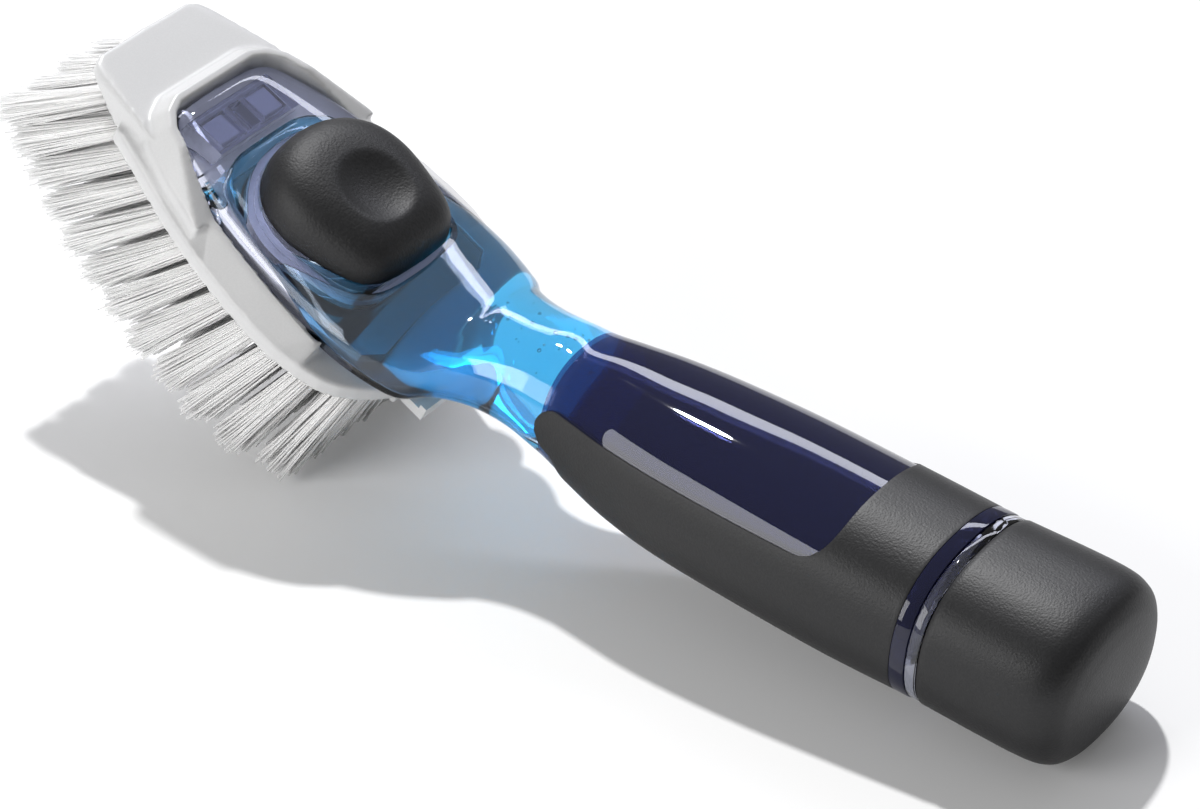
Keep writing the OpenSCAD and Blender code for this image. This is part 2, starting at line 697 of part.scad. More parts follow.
module button_plunger() {
    top = button_bottom + button_h - button_wall - dish_depth - 0.1;
    color([0.85, 0.86, 0.9])
    at_head() translate([button_at, 0, 0]) {
        translate([0, 0, diaphragm_top + move_gap]) cylinder(h = 1.6, r = dome_r - 4);
        translate([0, 0, diaphragm_top + move_gap]) cylinder(h = top - diaphragm_top - move_gap, r = 3);
    }
}

// The brush head

ear_t = 1.8;
pivot_r = 0.9;
tab_pivot = [plate_back + 4, plate_bottom - 0.3 - tab_t / 2];

module brush_plate() {
    top = plate_floor + rail_h;
    color([0.94, 0.94, 0.94])
    at_head() {
        difference() {
            union() {
                slab(plate_bottom, plate_floor) intersection() {
                    plate_outline(0);
                    translate([0, -big]) square([nose + 6, 2 * big]);
                }
                // seat of the foremost tufts
                slab(plate_bottom, plate_floor + 1) intersection() {
                    plate_outline(-2.5);
                    translate([nose, -big]) square([last_row + tuft_r - nose, 2 * big]);
                }
                // side walls
                intersection() {
                    hull() {
                        slab(plate_bottom + 0.8, plate_floor - 0.4) plate_outline(0);
                        slab(top - 0.6, top) rim_outline(move_gap + rim_t);
                    }
                    translate([35, -big, 0]) cube([nose + 4 - 35, 2 * big, big]);
                }
                // scraper
                hull() {
                    slab(plate_bottom + 4.4, plate_bottom + 6.6) intersection() {
                        plate_outline(0);
                        translate([plate_front - 4, -big]) square([big, 2 * big]);
                    }
                    slab(plate_bottom, plate_bottom + 9) intersection() {
                        plate_outline(-2);
                        translate([nose - 2, -big]) square([4, 2 * big]);
                    }
                }
                // collar round the nose
                hull() {
                    slab(plate_floor + collar_h - 0.6, plate_floor + collar_h) intersection() {
                        rim_outline(move_gap + rim_t);
                        translate([nose - 8, -big]) square([big, 2 * big]);
                    }
                    slab(plate_floor, plate_floor + rail_h) intersection() {
                        rim_outline(move_gap + rim_t + 3.4);
                        translate([nose - 22, -big]) square([big, 2 * big]);
                    }
                }
            }
            intersection() {
                head_volume(move_gap);
                translate([0, -big, plate_floor]) cube([2 * big, 2 * big, big]);
            }
            slab(plate_floor, big) rim_outline(move_gap);
            translate([button_at, 0, 0]) cylinder(h = 20, r = nozzle_r + 1);
            tuft_holes();
            for (s = side) translate([tab_pivot[0], s * (tab_w / 2 + ear_t / 2 + move_gap), tab_pivot[1]])
                rotate([90, 0, 0]) cylinder(h = 1, r = pivot_r + 0.06, center = true);
        }
        for (s = side) translate([0, s * hook_y, 0]) slab(plate_floor - eps, pocket_top - 1.2) hook_outline(0);
        // ears of the release tab
        for (s = side) translate([tab_pivot[0], s * (tab_w / 2 + ear_t / 2 + move_gap), 0]) difference() {
            translate([-2, -ear_t / 2, tab_pivot[1] - 1.5]) cube([4, ear_t, plate_bottom + 0.5 - tab_pivot[1] + 1.5]);
            translate([0, 0, tab_pivot[1]]) rotate([90, 0, 0]) cylinder(h = 9, r = pivot_r + 0.06, center = true);
        }
    }
}

module tuft_holes() {
    for (t = all_tufts) translate([t[0], t[1], plate_bottom - 1]) cylinder(h = hole_d + 1, r = tuft_r + seat_gap, $fn = 24);
}

module one_tuft(t) {
    translate([t[0], t[1], plate_bottom]) {
        difference() {
            union() {
                cylinder(h = hole_d - seat_gap, r = tuft_r, $fn = 24);
                rotate([0, 180 - t[2], 0]) rotate([t[3], 0, 0]) translate([0, 0, -root_l])
                    cylinder(h = bristle_l + root_l, r1 = tuft_r - root_step, r2 = tip_r, $fn = 24);
            }
            translate([-anchor_t / 2, -2 * tuft_r, anchor_low - seat_gap]) cube([anchor_t, 4 * tuft_r, hole_d]);
        }
    }
}

// The rows of tufts between two shares of the head's length
module tuft_rows(from, to) {
    color([0.97, 0.97, 0.98])
    at_head() for (i = [floor(from * (row_n + 1)):floor(to * (row_n + 1)) - 1]) for (t = row_tufts(i)) one_tuft(t);
}

module tufts_back() tuft_rows(0, 0.25);
module tufts_aft() tuft_rows(0.25, 0.5);
module tufts_fore() tuft_rows(0.5, 0.75);
module tufts_front() tuft_rows(0.75, 1);

root_l = 1.1;
root_step = 0.45;
anchor_t = 0.4;
anchor_low = 0.5;
anchor_h = 2;

module tuft_anchors() {
    color([0.75, 0.75, 0.77])
    at_head() for (t = all_tufts) translate([t[0], t[1], plate_bottom + anchor_low + anchor_h / 2])
        cube([anchor_t - 2 * seat_gap, 2 * tuft_r, anchor_h], center = true);
}

module release_tab() {
    x = tab_pivot[0];
    z = tab_pivot[1];
    color([0.93, 0.93, 0.93])
    at_head() difference() {
        union() {
            translate([x - tab_l, -tab_w / 2, z - tab_t / 2]) cube([tab_l, tab_w, tab_t]);
            translate([x, 0, z]) rotate([90, 0, 0]) cylinder(h = tab_w, r = tab_t / 2, center = true);
            translate([x, 0, z]) rotate([90, 0, 0])
                cylinder(h = tab_w + 2 * (move_gap + ear_t), r = pivot_r, center = true);
            translate([x - tab_l, -tab_w / 2, z - tab_t / 2]) cube([1.6, tab_w, tab_t + 1.2]);
        }
        translate([x - tab_l - 1, -2, z - 5]) cube([3, 4, 10]);
    }
}

reservoir_body();
filler_neck();
grip_sleeve();
soap_fill();
head_base();
front_catch();
pump_plate();
inlet_valve();
outlet_valve();
nozzle();
nozzle_seal();
pump_diaphragm();
diaphragm_ring();
cap_seal();
cap_core();
cap_cover();
button_cap();
button_plunger();
brush_plate();
tufts_front();
tufts_fore();
tufts_aft();
tufts_back();
tuft_anchors();
release_tab();
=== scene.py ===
"""Dressed model of a soap-dispensing dish wand, lying on a white table.

Shapes are worked out in millimetres, in the handle's own frame (X from the cap to the head)
or the head's own frame (X from the neck to the scraper, Z square to the brush plate).
"""

import json
import logging
import math
from dataclasses import dataclass, field
from enum import Enum
from typing import Any, Callable, Sequence

import bmesh
import bpy
import mathutils
import numpy as np
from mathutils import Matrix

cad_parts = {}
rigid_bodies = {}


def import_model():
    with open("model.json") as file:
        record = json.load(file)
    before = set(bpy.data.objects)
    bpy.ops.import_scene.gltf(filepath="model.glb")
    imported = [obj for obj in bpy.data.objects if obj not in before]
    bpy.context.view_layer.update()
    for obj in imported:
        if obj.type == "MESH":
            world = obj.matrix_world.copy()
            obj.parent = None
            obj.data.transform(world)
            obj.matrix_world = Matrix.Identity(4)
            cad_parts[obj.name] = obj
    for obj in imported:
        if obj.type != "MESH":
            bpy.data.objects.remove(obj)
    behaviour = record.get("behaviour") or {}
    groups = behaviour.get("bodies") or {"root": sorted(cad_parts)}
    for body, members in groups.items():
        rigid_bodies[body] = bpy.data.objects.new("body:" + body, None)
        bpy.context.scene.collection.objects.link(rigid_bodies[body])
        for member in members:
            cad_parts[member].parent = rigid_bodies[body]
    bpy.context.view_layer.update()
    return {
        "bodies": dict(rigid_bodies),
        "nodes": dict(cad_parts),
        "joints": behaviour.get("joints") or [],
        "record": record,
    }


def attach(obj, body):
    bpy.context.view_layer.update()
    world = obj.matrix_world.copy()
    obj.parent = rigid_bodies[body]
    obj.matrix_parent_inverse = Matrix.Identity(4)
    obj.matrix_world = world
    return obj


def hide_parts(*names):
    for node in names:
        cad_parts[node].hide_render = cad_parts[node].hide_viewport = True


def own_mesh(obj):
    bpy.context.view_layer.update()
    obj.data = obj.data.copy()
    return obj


LOG = logging.getLogger("dish_wand")
MM = 0.001
Obj = bpy.types.Object
Socket = bpy.types.NodeSocket
Array = np.ndarray


# Placement and curves


@dataclass(frozen=True)
class Placement:
    """How the wand lies on the table, in millimetres and degrees."""

    rest_tilt: float = 5.2484
    shift_x: float = -128.756
    lift_z: float = 15.3228
    head_x: float = 138.6
    head_drop: float = 16.1
    head_tilt: float = 25.2

    def handle(self, points: Array) -> Array:
        """Turns points of the handle's frame into the shared frame.

        Args:
            points: N x 3 array in millimetres.

        Returns:
            N x 3 array in metres.
        """
        p = np.asarray(points, float).reshape(-1, 3)
        b = math.radians(self.rest_tilt)
        x = math.cos(b) * p[:, 0] - math.sin(b) * p[:, 2] + self.shift_x
        z = math.sin(b) * p[:, 0] + math.cos(b) * p[:, 2] + self.lift_z
        return np.stack([x, p[:, 1], z], axis=1) * MM

    def head_in_handle(self, points: Array) -> Array:
        """Turns points of the head's frame into the handle's frame, both in millimetres.

        Args:
            points: N x 3 array in the head's frame.

        Returns:
            N x 3 array in the handle's frame.
        """
        p = np.asarray(points, float).reshape(-1, 3)
        a = math.radians(self.head_tilt)
        x = self.head_x + math.cos(a) * p[:, 0] - math.sin(a) * p[:, 2]
        z = -self.head_drop + math.sin(a) * p[:, 0] + math.cos(a) * p[:, 2]
        return np.stack([x, p[:, 1], z], axis=1)

    def head(self, points: Array) -> Array:
        """Turns points of the head's frame, in millimetres, into the shared frame, in metres."""
        return self.handle(self.head_in_handle(points))

    def head_axes(self) -> tuple[Array, Array, Array]:
        """The head frame's three axes as unit vectors of the shared frame."""
        o, u, v, n = self.head(np.array([[0, 0, 0], [1, 0, 0], [0, 1, 0], [0, 0, 1]]))
        return (u - o) / MM, (v - o) / MM, (n - o) / MM


PLACE = Placement()


def smooth(points: Sequence[Sequence[float]], n: int) -> Array:
    """Puts n - 1 more points between each two, on a smooth curve through them.

    Args:
        points: the chosen points or stations.
        n: how many steps there are between two of them.

    Returns:
        The finer list as an array.
    """
    p = np.asarray(points, float)
    last = len(p) - 1
    out = []
    for i in range(last):
        a, b, c, d = p[max(i - 1, 0)], p[i], p[i + 1], p[min(i + 2, last)]
        for k in range(n):
            t = k / n
            out.append(0.5 * (2 * b + (c - a) * t + (2 * a - 5 * b + 4 * c - d) * t * t
                              + (3 * b - a - 3 * c + d) * t ** 3))
    out.append(p[last])
    return np.array(out)


def signed_pow(a: Array, e: float) -> Array:
    """Power that keeps the sign of its base."""
    return np.sign(a) * np.abs(a) ** e


def ring_points(s: Sequence[float], angles: Array) -> Array:
    """Points of one cross-section.

    Args:
        s: station [x, z, tilt, half width, top, bottom, upper exponent, lower exponent].
        angles: places round the section, in radians from the +Y side over the top.

    Returns:
        N x 3 array in the handle's frame.
    """
    up = np.sin(angles) >= -1e-9
    e = np.where(up, 2 / s[6], 2 / s[7])
    y = s[3] * signed_pow(np.cos(angles), e)
    h = np.where(up, s[4], s[5]) * signed_pow(np.sin(angles), e)
    t = math.radians(s[2])
    return np.stack([s[0] - h * math.sin(t), y, s[1] + h * math.cos(t)], axis=1)


def inset(stations: Array, d: float | Array) -> Array:
    """The same stations with every side moved inwards by d.

    Args:
        stations: the cross-sections.
        d: one distance, or one for each section.

    Returns:
        The moved cross-sections.
    """
    out = np.array(stations, float)
    out[:, 3:6] -= np.broadcast_to(np.asarray(d, float).reshape(-1, 1), (len(out), 3))
    return out


def circle(x: float, r: float) -> list[float]:
    """A round station at x."""
    return [x, 0, 0, r, r, r, 2, 2]


# Meshes


def linked(name: str, data: Any) -> Obj:
    """Puts a mesh, lamp or camera into the scene as an object of that name.

    Args:
        name: name of the object.
        data: what it shows.

    Returns:
        The object.
    """
    obj = bpy.data.objects.new(name, data)
    bpy.context.scene.collection.objects.link(obj)
    return obj


def raw_mesh(name: str, points: Array, faces: Sequence[Sequence[int]] = ()) -> bpy.types.Mesh:
    """A mesh of these points and faces, as they are.

    Args:
        name: name of the mesh.
        points: the points in metres.
        faces: corner numbers of each face.

    Returns:
        The mesh.
    """
    mesh = bpy.data.meshes.new(name)
    mesh.from_pydata([tuple(map(float, p)) for p in points], [], [tuple(map(int, f)) for f in faces])
    return mesh


def read_points(mesh: bpy.types.Mesh) -> Array:
    """The mesh's points as an N x 3 array.

    Args:
        mesh: the mesh.

    Returns:
        The points in metres.
    """
    co = np.empty(len(mesh.vertices) * 3)
    mesh.vertices.foreach_get("co", co)
    return co.reshape(-1, 3)


def write_points(mesh: bpy.types.Mesh, points: Array) -> None:
    """Moves the mesh's points."""
    mesh.vertices.foreach_set("co", points.ravel())
    mesh.update()


def aimed(direction: Sequence[float]) -> mathutils.Euler:
    """The turn that makes a lamp shine along a direction."""
    return mathutils.Vector(direction).to_track_quat("-Z", "Y").to_euler()


def new_object(name: str, points: Array, faces: Sequence[Sequence[int]], sharp: float = 40.0) -> Obj:
    """Makes a smooth-shaded mesh object with its faces pointing outwards.

    Args:
        name: name of the piece.
        points: N x 3 array in metres.
        faces: corner numbers of each face.
        sharp: angle in degrees above which an edge is shaded sharp.

    Returns:
        The object, linked to the scene.
    """
    mesh = raw_mesh(name, points, faces)
    work = bmesh.new()
    work.from_mesh(mesh)
    bmesh.ops.remove_doubles(work, verts=work.verts, dist=1e-7)
    bmesh.ops.recalc_face_normals(work, faces=work.faces)
    work.to_mesh(mesh)
    work.free()
    mesh.shade_smooth()
    mesh.set_sharp_from_angle(angle=math.radians(sharp))
    return linked(name, mesh)


def bake(obj: Obj, sharp: float | None = 40.0) -> Obj:
    """Makes the modifiers' result the object's own mesh.

    Args:
        obj: the object with its modifiers.
        sharp: angle in degrees above which an edge is shaded sharp, or None to leave the shading.

    Returns:
        The same object.
    """
    graph = bpy.context.evaluated_depsgraph_get()
    mesh = bpy.data.meshes.new_from_object(obj.evaluated_get(graph))
    obj.modifiers.clear()
    obj.data = mesh
    if sharp is not None:
        mesh.shade_smooth()
        mesh.set_sharp_from_angle(angle=math.radians(sharp))
    return obj


def boolean(obj: Obj, tool: Obj, how: str = "DIFFERENCE") -> Obj:
    """Cuts, joins or keeps what two closed shapes share, and removes the tool.

    Args:
        obj: the shape that is changed.
        tool: the other shape.
        how: DIFFERENCE, UNION or INTERSECT.

    Returns:
        The first object.
    """
    mod = obj.modifiers.new("cut", "BOOLEAN")
    mod.object = tool
    mod.operation = how
    mod.solver = "EXACT"
    bake(obj)
    bpy.data.objects.remove(tool)
    return obj


def join(obj: Obj, *others: Obj) -> Obj:
    """Adds the faces of other objects to the first, as they are.

    Args:
        obj: the object that is kept.
        others: the objects that go into it.

    Returns:
        The first object.
    """
    work = bmesh.new()
    for o in (obj, *others):
        work.from_mesh(o.data)
    work.to_mesh(obj.data)
    work.free()
    for o in others:
        bpy.data.objects.remove(o)
    return obj


def turn_inside_out(obj: Obj) -> Obj:
    """Turns every face round, for the wall of a hollow."""
    obj.data.flip_normals()
    return obj


def loft(name: str, stations: Sequence[Sequence[float]] | Array, ring_n: int = 128, looped: bool = False,
         sharp: float = 40.0) -> Obj:
    """Skin over a row of cross-sections.

    Args:
        name: name of the piece.
        stations: rows of [x, z, tilt, half width, top, bottom, upper exponent, lower exponent].
        ring_n: points round each section.
        looped: True if the last section joins the first, and otherwise both ends are closed flat.
        sharp: angle in degrees above which an edge is shaded sharp.

    Returns:
        The object.
    """
    angles = np.arange(ring_n) * 2 * math.pi / ring_n
    rings = [ring_points(s, angles) for s in stations]
    count = len(rings)
    faces: list[list[int]] = []
    for i in range(count if looped else count - 1):
        a, b = i * ring_n, ((i + 1) % count) * ring_n
        for j in range(ring_n):
            k = (j + 1) % ring_n
            faces.append([a + j, b + j, b + k, a + k])
    points = np.concatenate(rings)
    if not looped:
        for end in (0, count - 1):
            middle = len(points)
            points = np.concatenate([points, rings[end].mean(axis=0, keepdims=True)])
            faces += [[end * ring_n + j, end * ring_n + (j + 1) % ring_n, middle] for j in range(ring_n)]
    return new_object(name, PLACE.handle(points), faces, sharp)


def prism(name: str, outline: Array, low: float, high: float) -> Obj:
    """Upright block over an outline, in the head's frame.

    Args:
        name: name of the piece.
        outline: N x 2 closed outline.
        low: its lower level.
        high: its upper level.

    Returns:
        The object.
    """
    n = len(outline)
    base = np.column_stack([outline, np.full(n, low)])
    top = np.column_stack([outline, np.full(n, high)])
    faces = [[j, (j + 1) % n, n + (j + 1) % n, n + j] for j in range(n)]
    faces += [list(range(n)), list(range(n, 2 * n))]
    return new_object(name, PLACE.head(np.concatenate([base, top])), faces)


def grown(outline: Array, d: float) -> Array:
    """Moves a closed outline outwards by d along its own normals.

    Args:
        outline: N x 2 closed outline.
        d: distance, negative for inwards.

    Returns:
        The moved outline.
    """
    after, before = np.roll(outline, -1, axis=0), np.roll(outline, 1, axis=0)
    t = after - before
    n = np.column_stack([t[:, 1], -t[:, 0]])
    n /= np.maximum(np.linalg.norm(n, axis=1, keepdims=True), 1e-9)
    area = 0.5 * np.sum(outline[:, 0] * after[:, 1] - after[:, 0] * outline[:, 1])
    return outline + n * d * (1 if area > 0 else -1)


def both_sides(half: Array) -> Array:
    """A half outline from the middle line round to the middle line, with its mirror image.

    Args:
        half: N x 2 half outline with y of 0 or more.

    Returns:
        The closed outline.
    """
    mirrored = half[-2:0:-1].copy()
    mirrored[:, 1] *= -1
    return np.concatenate([half, mirrored])


# Finishes


class Tree:
    """Short way to write a material's or a group's nodes."""

    def __init__(self, nodes: bpy.types.NodeTree) -> None:
        """Keeps the tree that the nodes go into."""
        self.tree = nodes

    def add(self, kind: str, inputs: dict[Any, Any] | None = None, **props: Any) -> bpy.types.Node:
        """Adds a node.

        Args:
            kind: the node's type name.
            inputs: socket name or number to a value or to another node's output.
            props: the node's own settings.

        Returns:
            The node.
        """
        node = self.tree.nodes.new(kind)
        for key, value in props.items():
            setattr(node, key, value)
        for key, value in (inputs or {}).items():
            if isinstance(value, Socket):
                self.tree.links.new(value, node.inputs[key])
            else:
                node.inputs[key].default_value = value
        return node

    def math(self, how: str, a: Any, b: Any = 0.0) -> Socket:
        """One sum of two values."""
        return self.add("ShaderNodeMath", {0: a, 1: b}, operation=how).outputs[0]


def effect_group(name: str, sockets: Sequence[tuple[str, str, str, Any]],
                 build: Callable[[Tree, bpy.types.Node, bpy.types.Node], None]) -> bpy.types.NodeTree:
    """Makes a shader node group once.

    Args:
        name: the group's name.
        sockets: rows of (IN or OUT, name, socket type, default value).
        build: fills the group.

    Returns:
        The group.
    """
    if name in bpy.data.node_groups:
        return bpy.data.node_groups[name]
    group = bpy.data.node_groups.new(name, "ShaderNodeTree")
    for way, label, kind, value in sockets:
        s = group.interface.new_socket(label, in_out="INPUT" if way == "IN" else "OUTPUT", socket_type=kind)
        if value is not None:
            s.default_value = value
    build(Tree(group), group.nodes.new("NodeGroupInput"), group.nodes.new("NodeGroupOutput"))
    return group


def fine_grain() -> bpy.types.NodeTree:
    """Spark-eroded mould grain: Height is the relief and Mask is where it stands up.

    Returns:
        The group.
    """

    def build(t: Tree, src: bpy.types.Node, dst: bpy.types.Node) -> None:
        """Two sizes of pebble, broken up by noise.

        Args:
            t: the tree that the nodes go into.
            src: the group's inputs.
            dst: the group's outputs.
        """
        cells = t.add("ShaderNodeTexVoronoi", {"Vector": src.outputs["Vector"],
                                               "Scale": src.outputs["Scale"]}, feature="SMOOTH_F1")
        noise = t.add("ShaderNodeTexNoise", {"Vector": src.outputs["Vector"], "Detail": 3.0, "Roughness": 0.6,
                                             "Scale": t.math("MULTIPLY", src.outputs["Scale"], 0.6)})
        mixed = t.math("ADD", t.math("MULTIPLY", cells.outputs["Distance"], 0.6),
                       t.math("MULTIPLY", noise.outputs["Fac"], 0.7))
        t.tree.links.new(mixed, dst.inputs["Height"])
        mask = t.add("ShaderNodeMapRange", {"Value": mixed, "From Min": 0.45, "From Max": 0.8})
        t.tree.links.new(mask.outputs[0], dst.inputs["Mask"])

    return effect_group("fine_grain", [
        ("IN", "Vector", "NodeSocketVector", None), ("IN", "Scale", "NodeSocketFloat", 3000.0),
        ("OUT", "Height", "NodeSocketFloat", None), ("OUT", "Mask", "NodeSocketFloat", None)], build)


def handling_marks() -> bpy.types.NodeTree:
    """Slow cloudy change and thin scuffs, as masks for colour and gloss.

    Returns:
        The group.
    """

    def build(t: Tree, src: bpy.types.Node, dst: bpy.types.Node) -> None:
        """Clouds from slow noise and scuffs from stretched noise.

        Args:
            t: the tree that the nodes go into.
            src: the group's inputs.
            dst: the group's outputs.
        """
        cloud = t.add("ShaderNodeTexNoise", {"Vector": src.outputs["Vector"], "Scale": src.outputs["Scale"],
                                             "Detail": 4.0})
        stretch = t.add("ShaderNodeMapping", {"Vector": src.outputs["Vector"], "Scale": (0.3, 6.0, 6.0)})
        scuff = t.add("ShaderNodeTexNoise", {"Vector": stretch.outputs[0], "Detail": 2.0,
                                             "Scale": t.math("MULTIPLY", src.outputs["Scale"], 6.0)})
        thin = t.add("ShaderNodeMapRange", {"Value": scuff.outputs["Fac"], "From Min": 0.62,
                                            "From Max": 0.72})
        t.tree.links.new(cloud.outputs["Fac"], dst.inputs["Cloud"])
        t.tree.links.new(thin.outputs[0], dst.inputs["Scuff"])

    return effect_group("handling_marks", [
        ("IN", "Vector", "NodeSocketVector", None), ("IN", "Scale", "NodeSocketFloat", 40.0),
        ("OUT", "Cloud", "NodeSocketFloat", None), ("OUT", "Scuff", "NodeSocketFloat", None)], build)


class Fineness(Enum):
    """Scales of the mould grain, in pebbles per metre."""

    SOFT_TOUCH = 2600.0
    PEBBLED = 2100.0
    SATIN = 3600.0


@dataclass(frozen=True)
class Finish:
    """What all finishes share."""

    name: str
    slot: str

    def shader(self, t: Tree) -> bpy.types.Node:
        """The Principled shader of this finish, with its nodes."""
        raise NotImplementedError

    def material(self) -> bpy.types.Material:
        """Makes the material once.

        Returns:
            The material.
        """
        if self.name in bpy.data.materials:
            return bpy.data.materials[self.name]
        mat = bpy.data.materials.new(self.name)
        mat.use_nodes = True
        mat.node_tree.nodes.clear()
        t = Tree(mat.node_tree)
        out = t.add("ShaderNodeOutputMaterial")
        t.tree.links.new(self.shader(t).outputs[0], out.inputs["Surface"])
        self.inside(t, out)
        return mat

    def inside(self, t: Tree, out: bpy.types.Node) -> None:
        """Adds what fills the piece, where its finish has a depth."""

    @staticmethod
    def marks(t: Tree, scale: float) -> tuple[Socket, Socket, Socket]:
        """Object coordinates with the cloud and scuff masks over them.

        Args:
            t: the tree that the nodes go into.
            scale: how many clouds there are to a metre, roughly.

        Returns:
            The coordinates, the cloud mask and the scuff mask.
        """
        where = t.add("ShaderNodeTexCoord").outputs["Object"]
        group = t.add("ShaderNodeGroup", node_tree=handling_marks())
        t.tree.links.new(where, group.inputs["Vector"])
        group.inputs["Scale"].default_value = scale
        return where, group.outputs["Cloud"], group.outputs["Scuff"]

    @staticmethod
    def blend(t: Tree, mask: Any, a: Sequence[float], b: Sequence[float]) -> Socket:
        """A colour between two by a mask.

        Args:
            t: the tree that the nodes go into.
            mask: 0 for the first colour and 1 for the second.
            a: the first colour.
            b: the second colour.

        Returns:
            The colour.
        """
        mix = t.add("ShaderNodeMix", data_type="RGBA")
        t.tree.links.new(mask, mix.inputs[0])
        mix.inputs[6].default_value = (*a, 1)
        mix.inputs[7].default_value = (*b, 1)
        return mix.outputs[2]

    @staticmethod
    def ramp(t: Tree, mask: Any, low: float, high: float) -> Socket:
        """A value between two by a mask."""
        return t.add("ShaderNodeMapRange", {"Value": mask, "To Min": low, "To Max": high}).outputs[0]


@dataclass(frozen=True)
class GrainedPlastic(Finish):
    """Opaque moulded plastic or soft-touch rubber with a fine grain."""

    dark: tuple[float, float, float] = (0.8, 0.8, 0.8)
    light: tuple[float, float, float] = (0.86, 0.86, 0.86)
    rough: tuple[float, float] = (0.35, 0.45)
    grain: Fineness = Fineness.SATIN
    depth_mm: float = 0.02
    specular: float = 0.5
    subsurface: float = 0.0

    def shader(self, t: Tree) -> bpy.types.Node:
        """Grain in relief, with its colour and gloss following it.

        Args:
            t: the tree that the nodes go into.

        Returns:
            The shader.
        """
        where, cloud, scuff = self.marks(t, 35.0)
        grain = t.add("ShaderNodeGroup", node_tree=fine_grain())
        t.tree.links.new(where, grain.inputs["Vector"])
        grain.inputs["Scale"].default_value = self.grain.value
        shade = t.math("ADD", t.math("MULTIPLY", grain.outputs["Mask"], 0.6), t.math("MULTIPLY", cloud, 0.4))
        rough = t.math("ADD", self.ramp(t, cloud, *self.rough), t.math("MULTIPLY", scuff, -0.04))
        bump = t.add("ShaderNodeBump", {"Height": grain.outputs["Height"], "Strength": 0.5,
                                        "Distance": self.depth_mm * MM})
        node = t.add("ShaderNodeBsdfPrincipled", {
            "Base Color": self.blend(t, shade, self.dark, self.light), "Roughness": rough,
            "Normal": bump.outputs[0]})
        node.inputs["Specular IOR Level"].default_value = self.specular
        node.inputs["Subsurface Weight"].default_value = self.subsurface
        node.inputs["Subsurface Radius"].default_value = (1.0, 1.0, 1.0)
        node.inputs["Subsurface Scale"].default_value = 0.002
        return node


@dataclass(frozen=True)
class ClearPlastic(Finish):
    """Clear moulded plastic with faint flow lines and fine scratches."""

    tint: tuple[float, float, float] = (0.79, 0.82, 0.98)
    ior: float = 1.49
    rough: tuple[float, float] = (0.0, 0.04)
    ripple_mm: float = 0.02
    clearness: float = 1.0

    def shader(self, t: Tree) -> bpy.types.Node:
        """Slow ripples in relief and a gloss that scuffs break up.

        Args:
            t: the tree that the nodes go into.

        Returns:
            The shader.
        """
        where, cloud, scuff = self.marks(t, 28.0)
        rough = t.math("ADD", self.ramp(t, cloud, *self.rough), t.math("MULTIPLY", scuff, 0.03))
        bump = t.add("ShaderNodeBump", {"Height": cloud, "Strength": 0.4, "Distance": self.ripple_mm * MM})
        node = t.add("ShaderNodeBsdfPrincipled", {"Roughness": rough, "Normal": bump.outputs[0]})
        tone = [c * 0.97 for c in self.tint]
        t.tree.links.new(self.blend(t, cloud, tone, self.tint), node.inputs["Base Color"])
        node.inputs["IOR"].default_value = self.ior
        node.inputs["Transmission Weight"].default_value = self.clearness
        return node


@dataclass(frozen=True)
class Soap(ClearPlastic):
    """Clear coloured soap, darker where it is deep."""

    depth_colour: tuple[float, float, float] = (0.0, 0.88, 0.97)
    density: float = 140.0

    def inside(self, t: Tree, out: bpy.types.Node) -> None:
        """Takes up light along its way through the soap.

        Args:
            t: the tree that the nodes go into.
            out: the material's output.
        """
        node = t.add("ShaderNodeVolumeAbsorption")
        node.inputs["Color"].default_value = (*self.depth_colour, 1)
        node.inputs["Density"].default_value = self.density
        t.tree.links.new(node.outputs[0], out.inputs["Volume"])


@dataclass(frozen=True)
class Filament(Finish):
    """Nylon bristle: milky, and clearer towards its cut tip."""

    def shader(self, t: Tree) -> bpy.types.Node:
        """Each filament has its own tone, kept in an attribute with the place along it.

        Args:
            t: the tree that the nodes go into.

        Returns:
            The shader.
        """
        along = t.add("ShaderNodeAttribute", attribute_name="along").outputs["Fac"]
        tone = t.add("ShaderNodeAttribute", attribute_name="tone").outputs["Fac"]
        where = t.add("ShaderNodeTexCoord").outputs["Object"]
        fleck = t.add("ShaderNodeTexNoise", {"Vector": where, "Scale": 900.0}).outputs["Fac"]
        mask = t.math("ADD", t.math("MULTIPLY", tone, 0.6), t.math("MULTIPLY", fleck, 0.4))
        body = self.blend(t, mask, (0.97, 0.965, 0.955), (1.0, 0.995, 0.985))
        tip = t.add("ShaderNodeMix", {0: self.ramp(t, along, 0.0, 0.5)}, data_type="RGBA")
        t.tree.links.new(body, tip.inputs[6])
        tip.inputs[7].default_value = (0.97, 0.97, 0.97, 1)
        node = t.add("ShaderNodeBsdfPrincipled", {"Base Color": tip.outputs[2],
                                                  "Roughness": self.ramp(t, fleck, 0.28, 0.42)})
        node.inputs["Subsurface Weight"].default_value = 0.2
        node.inputs["Subsurface Radius"].default_value = (1.0, 1.0, 1.0)
        node.inputs["Subsurface Scale"].default_value = 0.002
        return node


@dataclass(frozen=True)
class DrawnWire(Finish):
    """Flat drawn wire."""

    def shader(self, t: Tree) -> bpy.types.Node:
        """Metal with drawing marks in its gloss.

        Args:
            t: the tree that the nodes go into.

        Returns:
            The shader.
        """
        _, cloud, scuff = self.marks(t, 200.0)
        colour = self.blend(t, cloud, (0.55, 0.55, 0.57), (0.7, 0.7, 0.72))
        node = t.add("ShaderNodeBsdfPrincipled", {"Base Color": colour,
                                                  "Roughness": self.ramp(t, scuff, 0.25, 0.4)})
        node.inputs["Metallic"].default_value = 1.0
        return node


